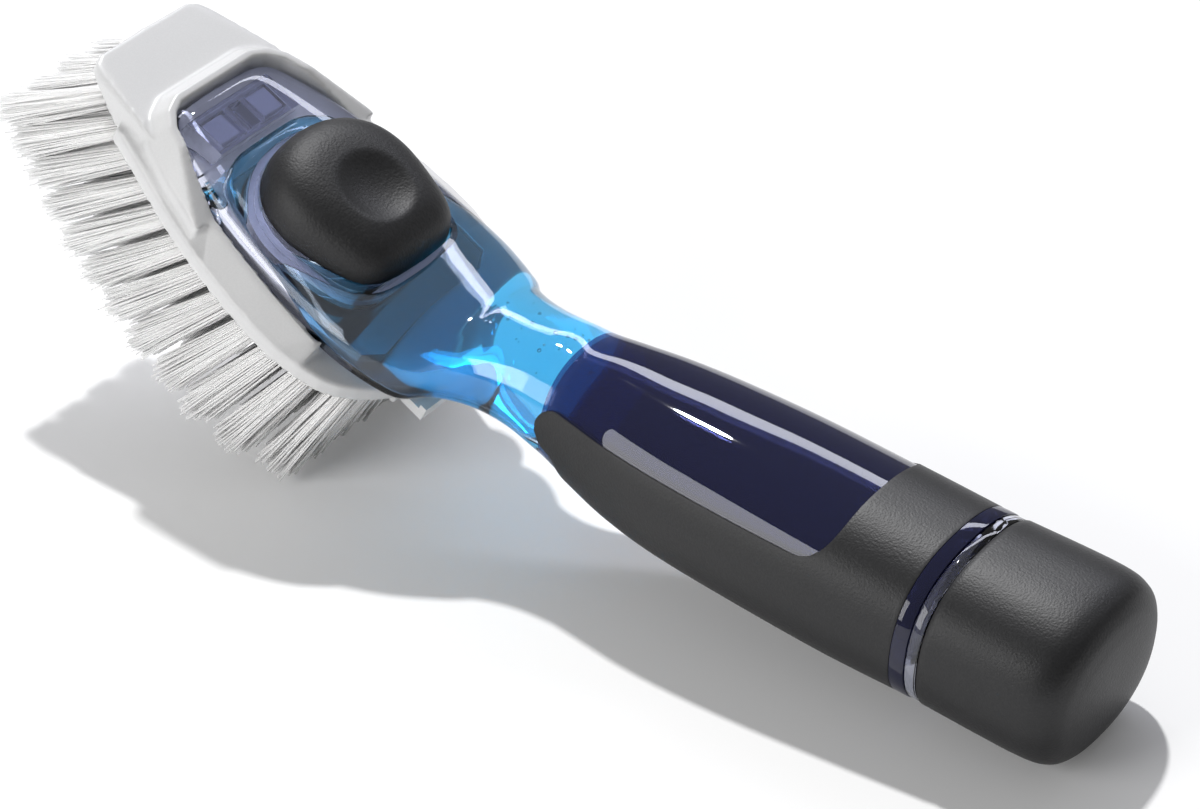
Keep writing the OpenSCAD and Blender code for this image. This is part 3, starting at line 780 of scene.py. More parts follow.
SOFT_TOUCH = GrainedPlastic("soft_touch_rubber", "grip_rubber", dark=(0.008, 0.008, 0.009),
                            light=(0.016, 0.016, 0.017), rough=(0.44, 0.52), grain=Fineness.SOFT_TOUCH,
                            depth_mm=0.13, specular=0.45)
THUMB_RUBBER = GrainedPlastic("thumb_rubber", "button_rubber", dark=(0.008, 0.008, 0.009),
                              light=(0.018, 0.018, 0.019), rough=(0.48, 0.58), grain=Fineness.PEBBLED,
                              depth_mm=0.18, specular=0.45)
WHITE_SATIN = GrainedPlastic("white_moulded", "white_plastic", dark=(0.66, 0.66, 0.66), light=(0.7, 0.7, 0.7),
                             rough=(0.3, 0.38), depth_mm=0.01, subsurface=0.1)
NATURAL = GrainedPlastic("natural_plastic", "frosted_plastic", dark=(0.5, 0.54, 0.66),
                         light=(0.6, 0.64, 0.75), rough=(0.25, 0.35), depth_mm=0.01, subsurface=0.3)
SILICONE = GrainedPlastic("natural_silicone", "silicone", dark=(0.6, 0.6, 0.58), light=(0.7, 0.7, 0.68),
                          rough=(0.4, 0.5), depth_mm=0.01, subsurface=0.3)
SEAL = GrainedPlastic("black_seal", "seal_rubber", dark=(0.01, 0.01, 0.011), light=(0.02, 0.02, 0.021),
                      rough=(0.5, 0.6), depth_mm=0.02)
CLEAR = ClearPlastic("clear_body", "clear_plastic")
# Clear plastic with a dark navy tint and less clearness: painted shade, standing in for the darkness of the
# deep soap and the black grip behind the window, and of the dark core seen through the clear collar.
PAINTED_SHADE_CLEAR = ClearPlastic("painted_shade_clear", "clear_plastic", tint=(0.05, 0.056, 0.18), clearness=0.82)
SOAP = Soap("clear_blue_soap", "dish_soap", tint=(0.8, 0.97, 1.0), ior=1.36, ripple_mm=0.0)
AIR = ClearPlastic("bubble_air", "dish_soap", tint=(1.0, 1.0, 1.0), ior=0.74, rough=(0.0, 0.01),
                   ripple_mm=0.0)
NYLON = Filament("nylon_filament", "nylon")
WIRE = DrawnWire("drawn_wire", "anchor_wire")


def dress(obj: Obj, finish: Finish, body: str | None = None, nodes: Sequence[str] = ()) -> Obj:
    """Gives a new piece its material, its body and the nodes that it stands for.

    Args:
        obj: the piece.
        finish: its finish.
        body: the body it rides on, or None for a node that rides already.
        nodes: the nodes that it replaces.

    Returns:
        The piece.
    """
    obj.data.materials.clear()
    obj.data.materials.append(finish.material())
    if body:
        if nodes:
            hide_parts(*nodes)
        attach(obj, body)
    LOG.info("%s: %s, %d faces", obj.name, finish.name, len(obj.data.polygons))
    return obj


def dress_node(frame: dict[str, Any], node: str, finish: Finish) -> None:
    """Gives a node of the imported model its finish.

    Args:
        frame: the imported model.
        node: name of the node.
        finish: its finish.
    """
    obj = frame["nodes"][node]
    if not obj.material_slots:
        obj.data.materials.append(finish.material())
    for s in obj.material_slots:
        s.material = finish.material()
    LOG.info("%s: %s", node, finish.name)


# The wand's surface


@dataclass(frozen=True)
class Form:
    """Sizes that several pieces share, in millimetres."""

    cap_l: float = 30.0
    cap_end: float = 32.6
    collar_end: float = 35.8
    lobe_x: float = 121.8
    half_w: float = 20.1
    top: float = 16.9
    bottom: float = 16.0
    nose: float = 90.0
    rim_level: float = 10.0
    base_bottom: float = 7.2
    base_top: float = 9.0
    pump_bottom: float = 10.6
    pump_top: float = 12.0
    button_at: float = 52.6
    button_l: float = 36.0
    button_w: float = 34.4
    button_bottom: float = 15.5
    head_half_w: float = 24.3
    shell: float = 2.0
    well_gap: float = 0.3
    well_wall: float = 1.5
    plate_bottom: float = 3.0

    def head_station(self, u: float, w: float, t: float, b: float, up: float, low: float,
                     v: float | None = None) -> list[float]:
        """A cross-section square to the head's own axis."""
        x, _, z = PLACE.head_in_handle(np.array([[u, 0, self.rim_level if v is None else v]]))[0]
        return [x, z, PLACE.head_tilt, w, t, b, up, low]

    def handle_part(self) -> list[list[float]]:
        """Cross-sections from the collar to the neck.

        Returns:
            The cross-sections.
        """
        c, w, t, b, g, s = self.collar_end, self.half_w, self.top, self.bottom, 20.2, 13.6
        n = self.lobe_x - c
        return [
            [c, 0, 0, w, t, b, 2.4, 2.4],
            [c + 0.2 * n, 0, 0, g, t + 0.5, b + 0.4, 2.4, 2.4],
            [c + 0.45 * n, 0, 0, g - 0.2, t + 1.1, b - 0.6, 2.4, 2.4],
            [c + 0.65 * n, 0, 0, g - 1, t + 1, b - 1.6, 2.4, 2.4],
            [c + 0.79 * n, 0.5, 0, g - 2.4, t + 0.2, b - 2.8, 2.4, 2.4],
            [c + 0.9 * n, 1.2, 0, s + 2.4, t - 0.8, b - 4.2, 2.3, 2.3],
            [self.lobe_x - 1, 2, 0, s + 0.8, t - 2.2, b - 6, 2.3, 2.3],
            [self.lobe_x + 7, 3, 3, s, t - 3.5, b - 8, 2.2, 2.2],
            [self.lobe_x + 15, 3.4, 9, s + 0.6, t - 4.3, b - 9, 2.2, 2.2],
            [self.lobe_x + 22.5, 3, 16, s + 3, t - 3.9, b - 9.4, 2.2, 2.3]]

    def band(self, x: float, d: float) -> Array:
        """The section of the clear bands beside the cap, at x and moved inwards by d."""
        return inset(np.array([[x, 0, 0, self.half_w, self.top, self.bottom, 2.4, 2.4]]), d)[0]

    def behind_neck(self, x: Array, start: float = -1.0, end: float = 6.0) -> Array:
        """1 where the grip goes round the body, easing to 0 in front of its end."""
        return 1 - ease(x, self.lobe_x + start, self.lobe_x + end)

    def head_part(self) -> list[list[float]]:
        """Cross-sections of the clear head up to the bend of its nose.

        Returns:
            The cross-sections.
        """
        w = self.head_half_w
        return [
            self.head_station(18, w - 3.5, 15, 3.8, 2.2, 3, self.rim_level + 1),
            self.head_station(27, w - 0.8, 12, 3.3, 2.4, 4, self.rim_level + 0.5),
            self.head_station(37, w, 9.6, 2.8, 2.6, 5),
            self.head_station(50, w - 0.6, 7.8, 2.8, 2.8, 5),
            self.head_station(self.nose - 23, w - 2.8, 6.6, 2.8, 3, 5),
            self.head_station(self.nose - 12, w - 5.6, 5.6, 2.8, 3, 5)]

    def nose_part(self) -> list[list[float]]:
        """Cross-sections of the clear head's nose.

        Returns:
            The cross-sections.
        """
        w = self.head_half_w
        return [
            self.head_station(self.nose - 4, w - 8.6, 4.8, 2.8, 3, 4),
            self.head_station(self.nose - 1.4, w - 10.8, 3.8, 2.4, 3, 3),
            self.head_station(self.nose, w - 14, 2, 1.6, 3, 3)]

    def outside(self, n: int = 6) -> Array:
        """The whole clear body's cross-sections, n steps between two chosen ones."""
        return smooth(self.handle_part() + self.head_part() + self.nose_part(), n)

    def wet(self, n: int = 6) -> Array:
        """Cross-sections of the surface that the wet space follows.

        Args:
            n: steps between two chosen sections.

        Returns:
            The cross-sections.
        """
        w, end = self.head_half_w, self.button_at + self.button_l / 2 + 4.4
        tail = [self.head_station(50, w - 2.8, 7.8, 2.8, 2.8, 5),
                self.head_station(end - 6, w - 6.2, 6.6, 2.8, 3, 5),
                self.head_station(end - 1.6, w - 10, 6.2, 2.8, 3, 5),
                self.head_station(end, w - 13.5, 5.4, 2.6, 3, 5)]
        rows = smooth(self.handle_part() + self.head_part()[:3] + tail, n)
        rows[0, 0] += 0.4
        return rows

    def button_outline(self, n: int = 8) -> Array:
        """Outline of the button, seen along its travel.

        Args:
            n: steps between two chosen points.

        Returns:
            N x 2 closed outline in the head's frame.
        """
        c, length, w = self.button_at, self.button_l, self.button_w
        half = [[-0.5, 0], [-0.49, 0.2], [-0.455, 0.33], [-0.35, 0.42], [-0.1, 0.485], [0.1, 0.5],
                [0.28, 0.45], [0.41, 0.33], [0.48, 0.17], [0.5, 0]]
        return both_sides(smooth([[c + a * length, b * w] for a, b in half], n))

    def cover_outline(self, d: float = 0.0) -> Array:
        """Outline of the welded cover, moved outwards by d.

        Args:
            d: distance outwards.

        Returns:
            N x 2 closed outline in the head's frame.
        """
        w, end = self.head_half_w - self.shell - 4, self.button_at + self.button_l / 2 + 4.4
        half = np.array([[26, 0], [26, w - 5], [29, w - 1], [36, w], [50, w], [end - 8, w - 2.6],
                         [end - 3, w - 6], [end - 3, 0]], float)
        return grown(both_sides(half), d)


FORM = Form()


def ease(x: Array, a: float, b: float) -> Array:
    """Smooth step from 0 at a to 1 at b."""
    t = np.clip((np.asarray(x, float) - a) / (b - a), 0, 1)
    return t * t * (3 - 2 * t)


# Screw cap


@dataclass
class Thread:
    """A ridge that winds round the handle's axis, in millimetres."""

    x: float
    r_low: float
    r_high: float
    turns: float
    lead: float = 6.0
    width: float = 2.3
    sunk: float = 0.3
    steps_a_turn: int = 72
    end_height: float = 0.15
    run_in: float = 12.0

    def make(self, name: str) -> Obj:
        """Builds the ridge with tapered ends.

        Args:
            name: name of the ridge.

        Returns:
            The object.
        """
        n, out = self.steps_a_turn, 1 if self.r_high > self.r_low else -1
        steps = int(self.turns * n)
        rings = []
        for i in range(steps + 1):
            a = 2 * math.pi * i / n
            f = min(1, self.end_height + i / self.run_in, self.end_height + (steps - i) / self.run_in)
            top = self.r_low + (self.r_high - self.r_low) * f
            w, foot = self.width, self.r_low - self.sunk * out
            shape = [(foot, -w / 2), (top, -w / 4), (top, w / 4), (foot, w / 2)]
            rings += [[self.x + self.lead * i / n + s, r * math.cos(a), r * math.sin(a)] for r, s in shape]
        faces = [[i * 4 + j, i * 4 + (j + 1) % 4, i * 4 + 4 + (j + 1) % 4, i * 4 + 4 + j]
                 for i in range(steps) for j in range(4)]
        faces += [[0, 1, 2, 3], [steps * 4 + j for j in range(4)]]
        return new_object(name, PLACE.handle(np.array(rings)), faces)


@dataclass
class ScrewCap:
    """Soft cover on a clear threaded core, with its flange."""

    form: Form = field(default_factory=Form)
    socket_r: float = 13.4
    core_r: float = 14.8
    floor_x: float = 12.5
    barrel_x: float = 10.5
    pole_r: float = 2.0
    thread_x: float = 15.75
    ridge: float = 1.0
    edge: float = 0.35
    dome: float = 0.7
    end_rings: tuple[float, ...] = (9.6, 8.0, 6.0, 4.0, 2.5, 1.2)

    def cover_stations(self) -> Array:
        """Cross-sections of the cover's outside.

        Returns:
            The cross-sections.
        """
        f = self.form
        w, t, b = f.half_w, f.top, f.bottom
        return smooth([
            [self.dome, 0, 0, w - 7, t - 6.7, b - 5.4, 2.3, 2.3],
            [1.8, 0, 0, w - 3.6, t - 3.4, b - 2.4, 2.4, 2.4],
            [4.6, 0, 0, w - 1.1, t - 0.8, b - 0.4, 2.5, 2.5],
            [11, 0, 0, w, t + 0.2, b, 2.5, 2.5],
            [f.cap_l, 0, 0, w, t, b, 2.4, 2.4]], 8)

    def cover(self) -> Obj:
        """The soft cover, open at the front for the core.

        Returns:
            The object.
        """
        f = self.form
        outer = self.cover_stations()
        last = outer[-1]
        end = outer[0]
        flat = [inset(end[None], d)[0] for d in self.end_rings]
        for row in flat:
            row[0] = self.dome * (row[3] / end[3]) ** 3
        front = [np.array([last[0] - self.edge, *last[1:]]), inset(last[None], self.edge)[0]]
        bore = self.core_r + 0.1
        rows = [*flat, *outer[:-1], *front, circle(f.cap_l, bore), circle(self.barrel_x - 0.05, bore)]
        return loft("cap_soft_cover", rows, 160, sharp=50)

    def core(self) -> Obj:
        """The clear core: socket, barrel and flange, with the inner thread.

        Returns:
            The object.
        """
        f, e = self.form, self.edge

        def flange(x: float, d: float) -> Array:
            """The flange's section at x, a little inside the band beside it."""
            return f.band(x, 0.2 + d)

        rows = [circle(self.floor_x, self.pole_r), circle(self.floor_x, self.socket_r),
                circle(f.cap_end - 0.05, self.socket_r), flange(f.cap_end - 0.05, e),
                flange(f.cap_end - 0.15, e * 0.3), flange(f.cap_end - 0.4, 0), flange(f.cap_l + 0.4, 0),
                flange(f.cap_l + 0.15, e * 0.3), flange(f.cap_l + 0.05, e),
                circle(f.cap_l + 0.05, self.core_r), circle(self.barrel_x, self.core_r),
                circle(self.barrel_x, self.pole_r)]
        body = loft("cap_clear_core", rows, 160, sharp=35)
        ridge = Thread(self.thread_x, self.socket_r, self.socket_r - self.ridge, 1)
        return join(body, ridge.make("cap_inner_thread"))

    def build(self, frame: dict[str, Any]) -> None:
        """Makes and dresses the cap's pieces.

        Args:
            frame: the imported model.
        """
        dress(self.cover(), SOFT_TOUCH, "cap", ["cap_cover"])
        dress(self.core(), CLEAR, "cap", ["cap_core"])
        dress_node(frame, "cap_seal", SILICONE)


# Handle


@dataclass
class Bubbles:
    """Small air bubbles that rest under the clear wall of the neck."""

    count: int = 46
    seed: int = 5
    smallest_mm: float = 0.16
    largest_mm: float = 0.5
    behind: float = 6.0
    spread: float = 30.0
    sideways: float = 3.2
    lower_under: float = 1.9
    below_wall: float = 0.4

    def tree(self) -> bpy.types.NodeTree:
        """Geometry nodes: a small sphere on each point, at the point's own size.

        Returns:
            The tree.
        """
        g = bpy.data.node_groups.new("bubbles_on_points", "GeometryNodeTree")
        g.interface.new_socket("Geometry", in_out="INPUT", socket_type="NodeSocketGeometry")
        g.interface.new_socket("Size", in_out="INPUT", socket_type="NodeSocketFloat").default_value = 1.0
        g.interface.new_socket("Geometry", in_out="OUTPUT", socket_type="NodeSocketGeometry")
        t = Tree(g)
        src, dst = g.nodes.new("NodeGroupInput"), g.nodes.new("NodeGroupOutput")
        ball = t.add("GeometryNodeMeshIcoSphere", {"Radius": 1.0, "Subdivisions": 3})
        own = t.add("GeometryNodeInputNamedAttribute", {"Name": "size"}, data_type="FLOAT").outputs[0]
        size = t.math("MULTIPLY", own, src.outputs["Size"])
        put = t.add("GeometryNodeInstanceOnPoints", {"Points": src.outputs["Geometry"],
                                                     "Instance": ball.outputs["Mesh"], "Scale": size})
        real = t.add("GeometryNodeRealizeInstances", {"Geometry": put.outputs[0]})
        soft = t.add("GeometryNodeSetShadeSmooth", {"Geometry": real.outputs[0]})
        paint = t.add("GeometryNodeSetMaterial", {"Geometry": soft.outputs[0], "Material": AIR.material()})
        g.links.new(paint.outputs[0], dst.inputs[0])
        return g

    def make(self) -> Obj:
        """Scatters the bubbles with a fixed seed.

        Returns:
            The object.
        """
        rng = np.random.default_rng(self.seed)
        x = FORM.lobe_x - self.behind + self.spread * rng.random(self.count) ** 1.3
        y = rng.normal(0, self.sideways, self.count)
        size = self.smallest_mm + (self.largest_mm - self.smallest_mm) * rng.random(self.count) ** 3
        rows = FORM.wet(12)
        top = np.interp(x, rows[:, 0], rows[:, 1] + rows[:, 4]) - FORM.shell
        half = np.interp(x, rows[:, 0], rows[:, 3]) - FORM.shell
        z = top - 0.5 * y * y / half - size - self.lower_under * FORM.behind_neck(x) - self.below_wall
        mesh = raw_mesh("soap_bubbles", PLACE.handle(np.column_stack([x, y, z])))
        own = mesh.attributes.new("size", "FLOAT", "POINT")
        for item, s in zip(own.data, size):
            item.value = float(s) * MM
        obj = linked("soap_bubbles", mesh)
        mod = obj.modifiers.new("bubbles", "NODES")
        mod.node_group = self.tree()
        ids = {s.name: s.identifier for s in mod.node_group.interface.items_tree if s.in_out == "INPUT"}
        mod[ids["Size"]] = 1.0
        return bake(obj, None)


@dataclass
class Handle:
    """Clear body filled with soap, its threaded neck and its soft grip."""

    form: Form = field(default_factory=Form)
    skin: float = 0.35
    thicker_under: float = 1.8
    grip_reach: float = 2.2
    grip_edge: float = 0.28
    grip_rows: int = 116
    grip_ring: int = 176
    mean_r: float = 19.0
    # How far behind the neck's lobe the painted shade on the clear body ends.
    painted_shade_to: float = 0.9
    window_back: float = 17.2
    window_edge: float = 9.6
    window_corner: float = 7.0
    clear_of_all: float = 80.0
    lobe_r: float = 4.8
    lobe_l: float = 9.0
    tool_top: float = 60.0
    catch_half_w: float = 11.4
    edge: float = 0.35
    bore_r: float = 10.4
    neck_r: float = 12.0
    neck_end: float = 14.6
    ridge: float = 1.0
    turns: float = 1.25

    def wet_shape(self, name: str, d: float) -> Obj:
        """The wet space moved inwards by d, with the button's well taken out.

        Args:
            name: name of the shape.
            d: distance inwards.

        Returns:
            The object.
        """
        f = self.form
        rows = f.wet()
        under = self.thicker_under * f.behind_neck(rows[:, 0])
        shape = loft(name, inset(rows, f.shell + d + under), 96)
        well = grown(f.button_outline(6), f.well_gap + f.well_wall + d)
        return boolean(shape, prism("well_tool", well, f.pump_bottom - 0.1, self.tool_top))

    def clear_body(self) -> Obj:
        """The reservoir and clear head in one piece, hollow for the soap.

        Returns:
            The object.
        """
        f = self.form
        rows = f.outside()
        body = loft("clear_reservoir", inset(rows, self.skin * f.behind_neck(rows[:, 0], -2.0, 5.0)), 128)
        fit, half = 0.05, self.catch_half_w
        boolean(body, prism("button_tool", grown(f.button_outline(6), f.well_gap), f.pump_top - 0.01,
                            self.tool_top))
        boolean(body, prism("pump_tool", grown(f.button_outline(6), f.well_gap + f.well_wall + fit),
                            f.pump_bottom - fit, f.pump_top))
        boolean(body, prism("cover_tool", f.cover_outline(fit), 0, f.base_top + fit))
        back, front = f.button_at + f.button_l / 2 + 6.4, f.nose - 3.6
        box = np.array([[back, -half], [front, -half], [front, half], [back, half]])
        boolean(body, prism("catch_tool", box, 0, f.base_bottom + 5))
        return join(body, turn_inside_out(self.wet_shape("wet_wall", 0.0)))

    def neck(self) -> Obj:
        """The threaded neck with its clear collar.

        Returns:
            The object.
        """
        f, e, bore, tube, end = self.form, self.edge, self.bore_r, self.neck_r, self.neck_end
        rows = [circle(end, bore), circle(end, tube), circle(f.cap_end, tube), f.band(f.cap_end, e),
                f.band(f.cap_end + 0.1, e * 0.3), f.band(f.cap_end + 0.35, 0), f.band(f.collar_end - 0.1, 0),
                f.band(f.collar_end, 0.1), circle(f.collar_end, bore)]
        body = loft("filler_collar", rows, 160, looped=True, sharp=35)
        return join(body, Thread(self.neck_end + 4, tube, tube + self.ridge, self.turns).make("neck_thread"))

    def window(self) -> Array:
        """Side view of the opening in the grip, as a closed outline of (x, z).

        Returns:
            The outline.
        """
        f = self.form
        rear, r, q = f.collar_end + self.window_back, self.window_corner, self.lobe_r
        a = np.radians(np.arange(180, 271, 3))
        b = np.radians(np.arange(90, -91, -5))
        corner = np.column_stack([rear + r + r * np.cos(a), self.window_edge + r + r * np.sin(a)])
        lobe = np.column_stack([f.lobe_x - q + q * np.cos(b), self.window_edge - q + q * np.sin(b)])
        under = f.lobe_x - self.lobe_l
        far = self.clear_of_all
        past = [[under, -8], [under, -far], [5 * far, -far], [5 * far, far]]
        return np.concatenate([[[rear, far]], corner, lobe, past])

    @staticmethod
    def outside_of(outline: Array, x: Array, z: Array) -> Array:
        """Signed distance to a closed outline, positive outside it.

        Args:
            outline: N x 2 outline.
            x: first coordinates.
            z: second coordinates.

        Returns:
            The distances, in the shape of x.
        """
        p = np.column_stack([x.ravel(), z.ravel()])
        a, b = outline, np.roll(outline, -1, axis=0)
        best = np.full(len(p), 1e9)
        inside = np.zeros(len(p), bool)
        for (ax, az), (bx, bz) in zip(a, b):
            e = np.array([bx - ax, bz - az])
            w = p - [ax, az]
            t = np.clip((w @ e) / max(e @ e, 1e-12), 0, 1)
            best = np.minimum(best, np.linalg.norm(w - t[:, None] * e, axis=1))
            crosses = (az > p[:, 1]) != (bz > p[:, 1])
            with np.errstate(divide="ignore", invalid="ignore"):
                at = ax + (p[:, 1] - az) * (bx - ax) / (bz - az)
            inside ^= crosses & (p[:, 0] < at)
        return np.where(inside, -best, best).reshape(x.shape)

    def grip(self) -> Obj:
        """The soft grip: a grid over the body, trimmed to the window and drawn onto its edge.

        Returns:
            The object.
        """
        f = self.form
        table = f.outside(12)
        outline = self.window()
        xs = np.linspace(f.collar_end + 0.05, f.lobe_x, self.grip_rows)
        ring = self.grip_ring
        x, a = np.meshgrid(xs, np.arange(ring) * 2 * math.pi / ring, indexing="ij")

        def place(px: Array, pa: Array) -> Array:
            """Points of the body's surface at places x and angles a.

            Args:
                px: places along the handle.
                pa: angles round it, in radians.

            Returns:
                Points in the handle's frame.
            """
            cols = [np.interp(px, table[:, 0], table[:, k]) for k in range(8)]
            up = np.sin(pa) >= -1e-9
            e = np.where(up, 2 / cols[6], 2 / cols[7])
            h = np.where(up, cols[4], cols[5]) * signed_pow(np.sin(pa), e)
            return np.stack([px, cols[3] * signed_pow(np.cos(pa), e), cols[1] + h], axis=-1)

        def level(px: Array, pa: Array) -> Array:
            """Distance to the window's edge in side view."""
            q = place(px, pa)
            return self.outside_of(outline, q[..., 0], q[..., 2])

        g = level(x, a)
        nxt = np.roll(g, -1, axis=1)
        keep = (g[:-1] + g[1:] + nxt[:-1] + nxt[1:]) > 0
        used = np.zeros(g.shape, bool)
        lost = np.zeros(g.shape, bool)
        for di in (0, 1):
            for dj in (0, 1):
                used[di:di + keep.shape[0]] |= np.roll(keep, dj, axis=1)
                lost[di:di + keep.shape[0]] |= ~np.roll(keep, dj, axis=1)
        edge = used & lost
        px, pa = x[edge], a[edge]
        scale, step = self.mean_r, 0.02
        for _ in range(5):
            v = level(px, pa)
            gx = (level(px + step, pa) - v) / step
            ga = (level(px, pa + step / scale) - v) / step
            size = np.maximum(gx * gx + ga * ga, 0.2)
            px = np.clip(px - v * gx / size, xs[0], xs[-1])
            pa = pa - v * ga / size / scale
        x[edge], a[edge] = px, pa
        number = np.arange(g.size).reshape(g.shape)
        faces = []
        for i in range(keep.shape[0]):
            for j in range(ring):
                if keep[i, j]:
                    k = (j + 1) % ring
                    faces.append([number[i, j], number[i + 1, j], number[i + 1, k], number[i, k]])
        points = place(x, a).reshape(-1, 3)
        live = sorted({v for face in faces for v in face})
        remap = {v: n for n, v in enumerate(live)}
        obj = new_object("soft_grip", PLACE.handle(points[live]),
                         [[remap[v] for v in face] for face in faces])
        middle = PLACE.handle(np.array([[(f.collar_end + f.lobe_x) / 2, 0, 0]]))[0]
        lowest = min(obj.data.polygons, key=lambda face: face.center.z)
        if np.dot(np.array(lowest.normal), np.array(lowest.center) - middle) < 0:
            obj.data.flip_normals()
        thick = obj.modifiers.new("thickness", "SOLIDIFY")
        thick.thickness = self.grip_reach * MM
        thick.offset = -1
        thick.use_even_offset = True
        soft = obj.modifiers.new("edge", "BEVEL")
        soft.width = self.grip_edge * MM
        soft.segments = 2
        soft.limit_method = "ANGLE"
        soft.angle_limit = math.radians(55)
        return bake(obj, 50)

    def soap(self) -> Obj:
        """The soap, a hair larger than its hollow so that the two surfaces are one to the light."""
        return self.wet_shape("soap_fill_smooth", -0.06)

    def build(self, frame: dict[str, Any]) -> None:
        """Makes and dresses the handle's pieces.

        Args:
            frame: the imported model.
        """
        body = dress(self.clear_body(), CLEAR, "handle", ["reservoir_body"])
        # Faces behind the neck get the dark tinted material: painted shade over the window part of the clear
        # body.
        body.data.materials.append(PAINTED_SHADE_CLEAR.material())
        edge = PLACE.handle(np.array([[self.form.lobe_x - self.painted_shade_to, 0, 0]]))[0]
        axis = PLACE.handle(np.array([[1, 0, 0]]))[0] - PLACE.handle(np.zeros((1, 3)))[0]
        for face in body.data.polygons:
            face.material_index = int(np.dot(np.array(face.center) - edge, axis) < 0)
        # The clear collar gets the same painted shade.
        dress(self.neck(), PAINTED_SHADE_CLEAR, "handle", ["filler_neck"])
        dress(self.grip(), SOFT_TOUCH, "handle", ["grip_sleeve"])
        dress(self.soap(), SOAP, "handle", ["soap_fill"])
        dress(Bubbles().make(), AIR, "handle")
        dress_node(frame, "head_base", CLEAR)
        dress_node(frame, "front_catch", CLEAR)


# Pump


@dataclass
class ThumbPump:
    """Thumb button and what it works."""

    form: Form = field(default_factory=Form)
    wall: float = 1.8
    dish_r: float = 18.0
    dish_depth: float = 2.2
    dish_back: float = 2.6
    dish_share: float = 0.9
    dish_blend: float = 0.45
    travel: float = 3.2
    crown: float = 11.4
    hollow: tuple[tuple[float, float], ...] = ((0.0, 0.0), (4.4, 0.4), (7.2, 4.0))
    profile: tuple[tuple[float, float], ...] = (
        (0.0, 0.15), (0.03, 0.0), (0.18, 0.0), (0.4, 0.35), (0.6, 1.2), (0.76, 2.7), (0.88, 4.9), (0.96, 7.8),
        (0.995, 11.8), (1.0, 16.0))

    def button(self) -> Obj:
        """The button: a crowned rounded trapezoid with a dish for the thumb, hollow below.

        Returns:
            The object.
        """
        f = self.form
        outline = f.button_outline(8)
        middle = np.array([f.button_at, 0.0])
        rings = []
        for share, back in smooth(self.profile, 6):
            k = max(0.0, 1 - back / (f.button_w / 2))
            q = middle + k * (outline - middle)
            rings.append(np.column_stack([q, np.full(len(q), f.button_bottom + share * self.crown)]))
        last = rings[-1][:, :2] - middle
        crest = f.button_bottom + self.crown
        for share in (0.8, 0.6, 0.4, 0.2):
            rings.append(np.column_stack([middle + share * last, np.full(len(last), crest)]))
        top = np.concatenate(rings)
        centre = crest + self.dish_r - self.dish_depth
        flat = np.hypot(top[:, 0] - (f.button_at - self.dish_back), top[:, 1])
        ball = centre - np.sqrt(np.maximum(self.dish_r ** 2 - flat ** 2, 1.0))
        ball = np.where(flat < self.dish_r * self.dish_share, ball, 1e3)
        soft = self.dish_blend
        h = np.clip(0.5 + 0.5 * (ball - top[:, 2]) / soft, 0, 1)
        top[:, 2] = ball * (1 - h) + top[:, 2] * h - soft * h * (1 - h)
        n, count = len(outline), len(rings)
        inner = []
        for level, thicker in self.hollow:
            k = 1 - (self.wall + thicker) / (f.button_w / 2)
            q = middle + k * (outline - middle)
            inner.append(np.column_stack([q, np.full(len(q), f.button_bottom + level)]))
        rows = [*reversed(inner), *[top[i * n:(i + 1) * n] for i in range(count)]]
        faces = [[i * n + j, i * n + (j + 1) % n, (i + 1) * n + (j + 1) % n, (i + 1) * n + j]
                 for i in range(len(rows) - 1) for j in range(n)]
        points = np.concatenate(rows)
        for end in (0, len(rows) - 1):
            faces += [[end * n + j, end * n + (j + 1) % n, len(points)] for j in range(n)]
            points = np.concatenate([points, rows[end].mean(axis=0, keepdims=True)])
        return new_object("thumb_button", PLACE.head(points), faces, 50)

    def dome(self, frame: dict[str, Any]) -> Obj:
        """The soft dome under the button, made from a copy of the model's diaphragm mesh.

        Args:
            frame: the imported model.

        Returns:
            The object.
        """
        obj = linked("pump_dome", frame["nodes"]["pump_diaphragm"].data.copy())
        dress(obj, SILICONE, "handle", ["pump_diaphragm"])
        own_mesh(obj)
        return obj

    def build(self, frame: dict[str, Any]) -> None:
        """Makes and dresses the pump's pieces.

        Args:
            frame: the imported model.
        """
        dress(self.button(), THUMB_RUBBER, "button", ["button_cap"])
        self.dome(frame)
        for node, finish in (("button_plunger", NATURAL), ("pump_plate", NATURAL), ("inlet_valve", SILICONE),
                             ("outlet_valve", SILICONE), ("nozzle", NATURAL), ("nozzle_seal", SEAL),
                             ("diaphragm_ring", NATURAL)):
            dress_node(frame, node, finish)


# Brush head


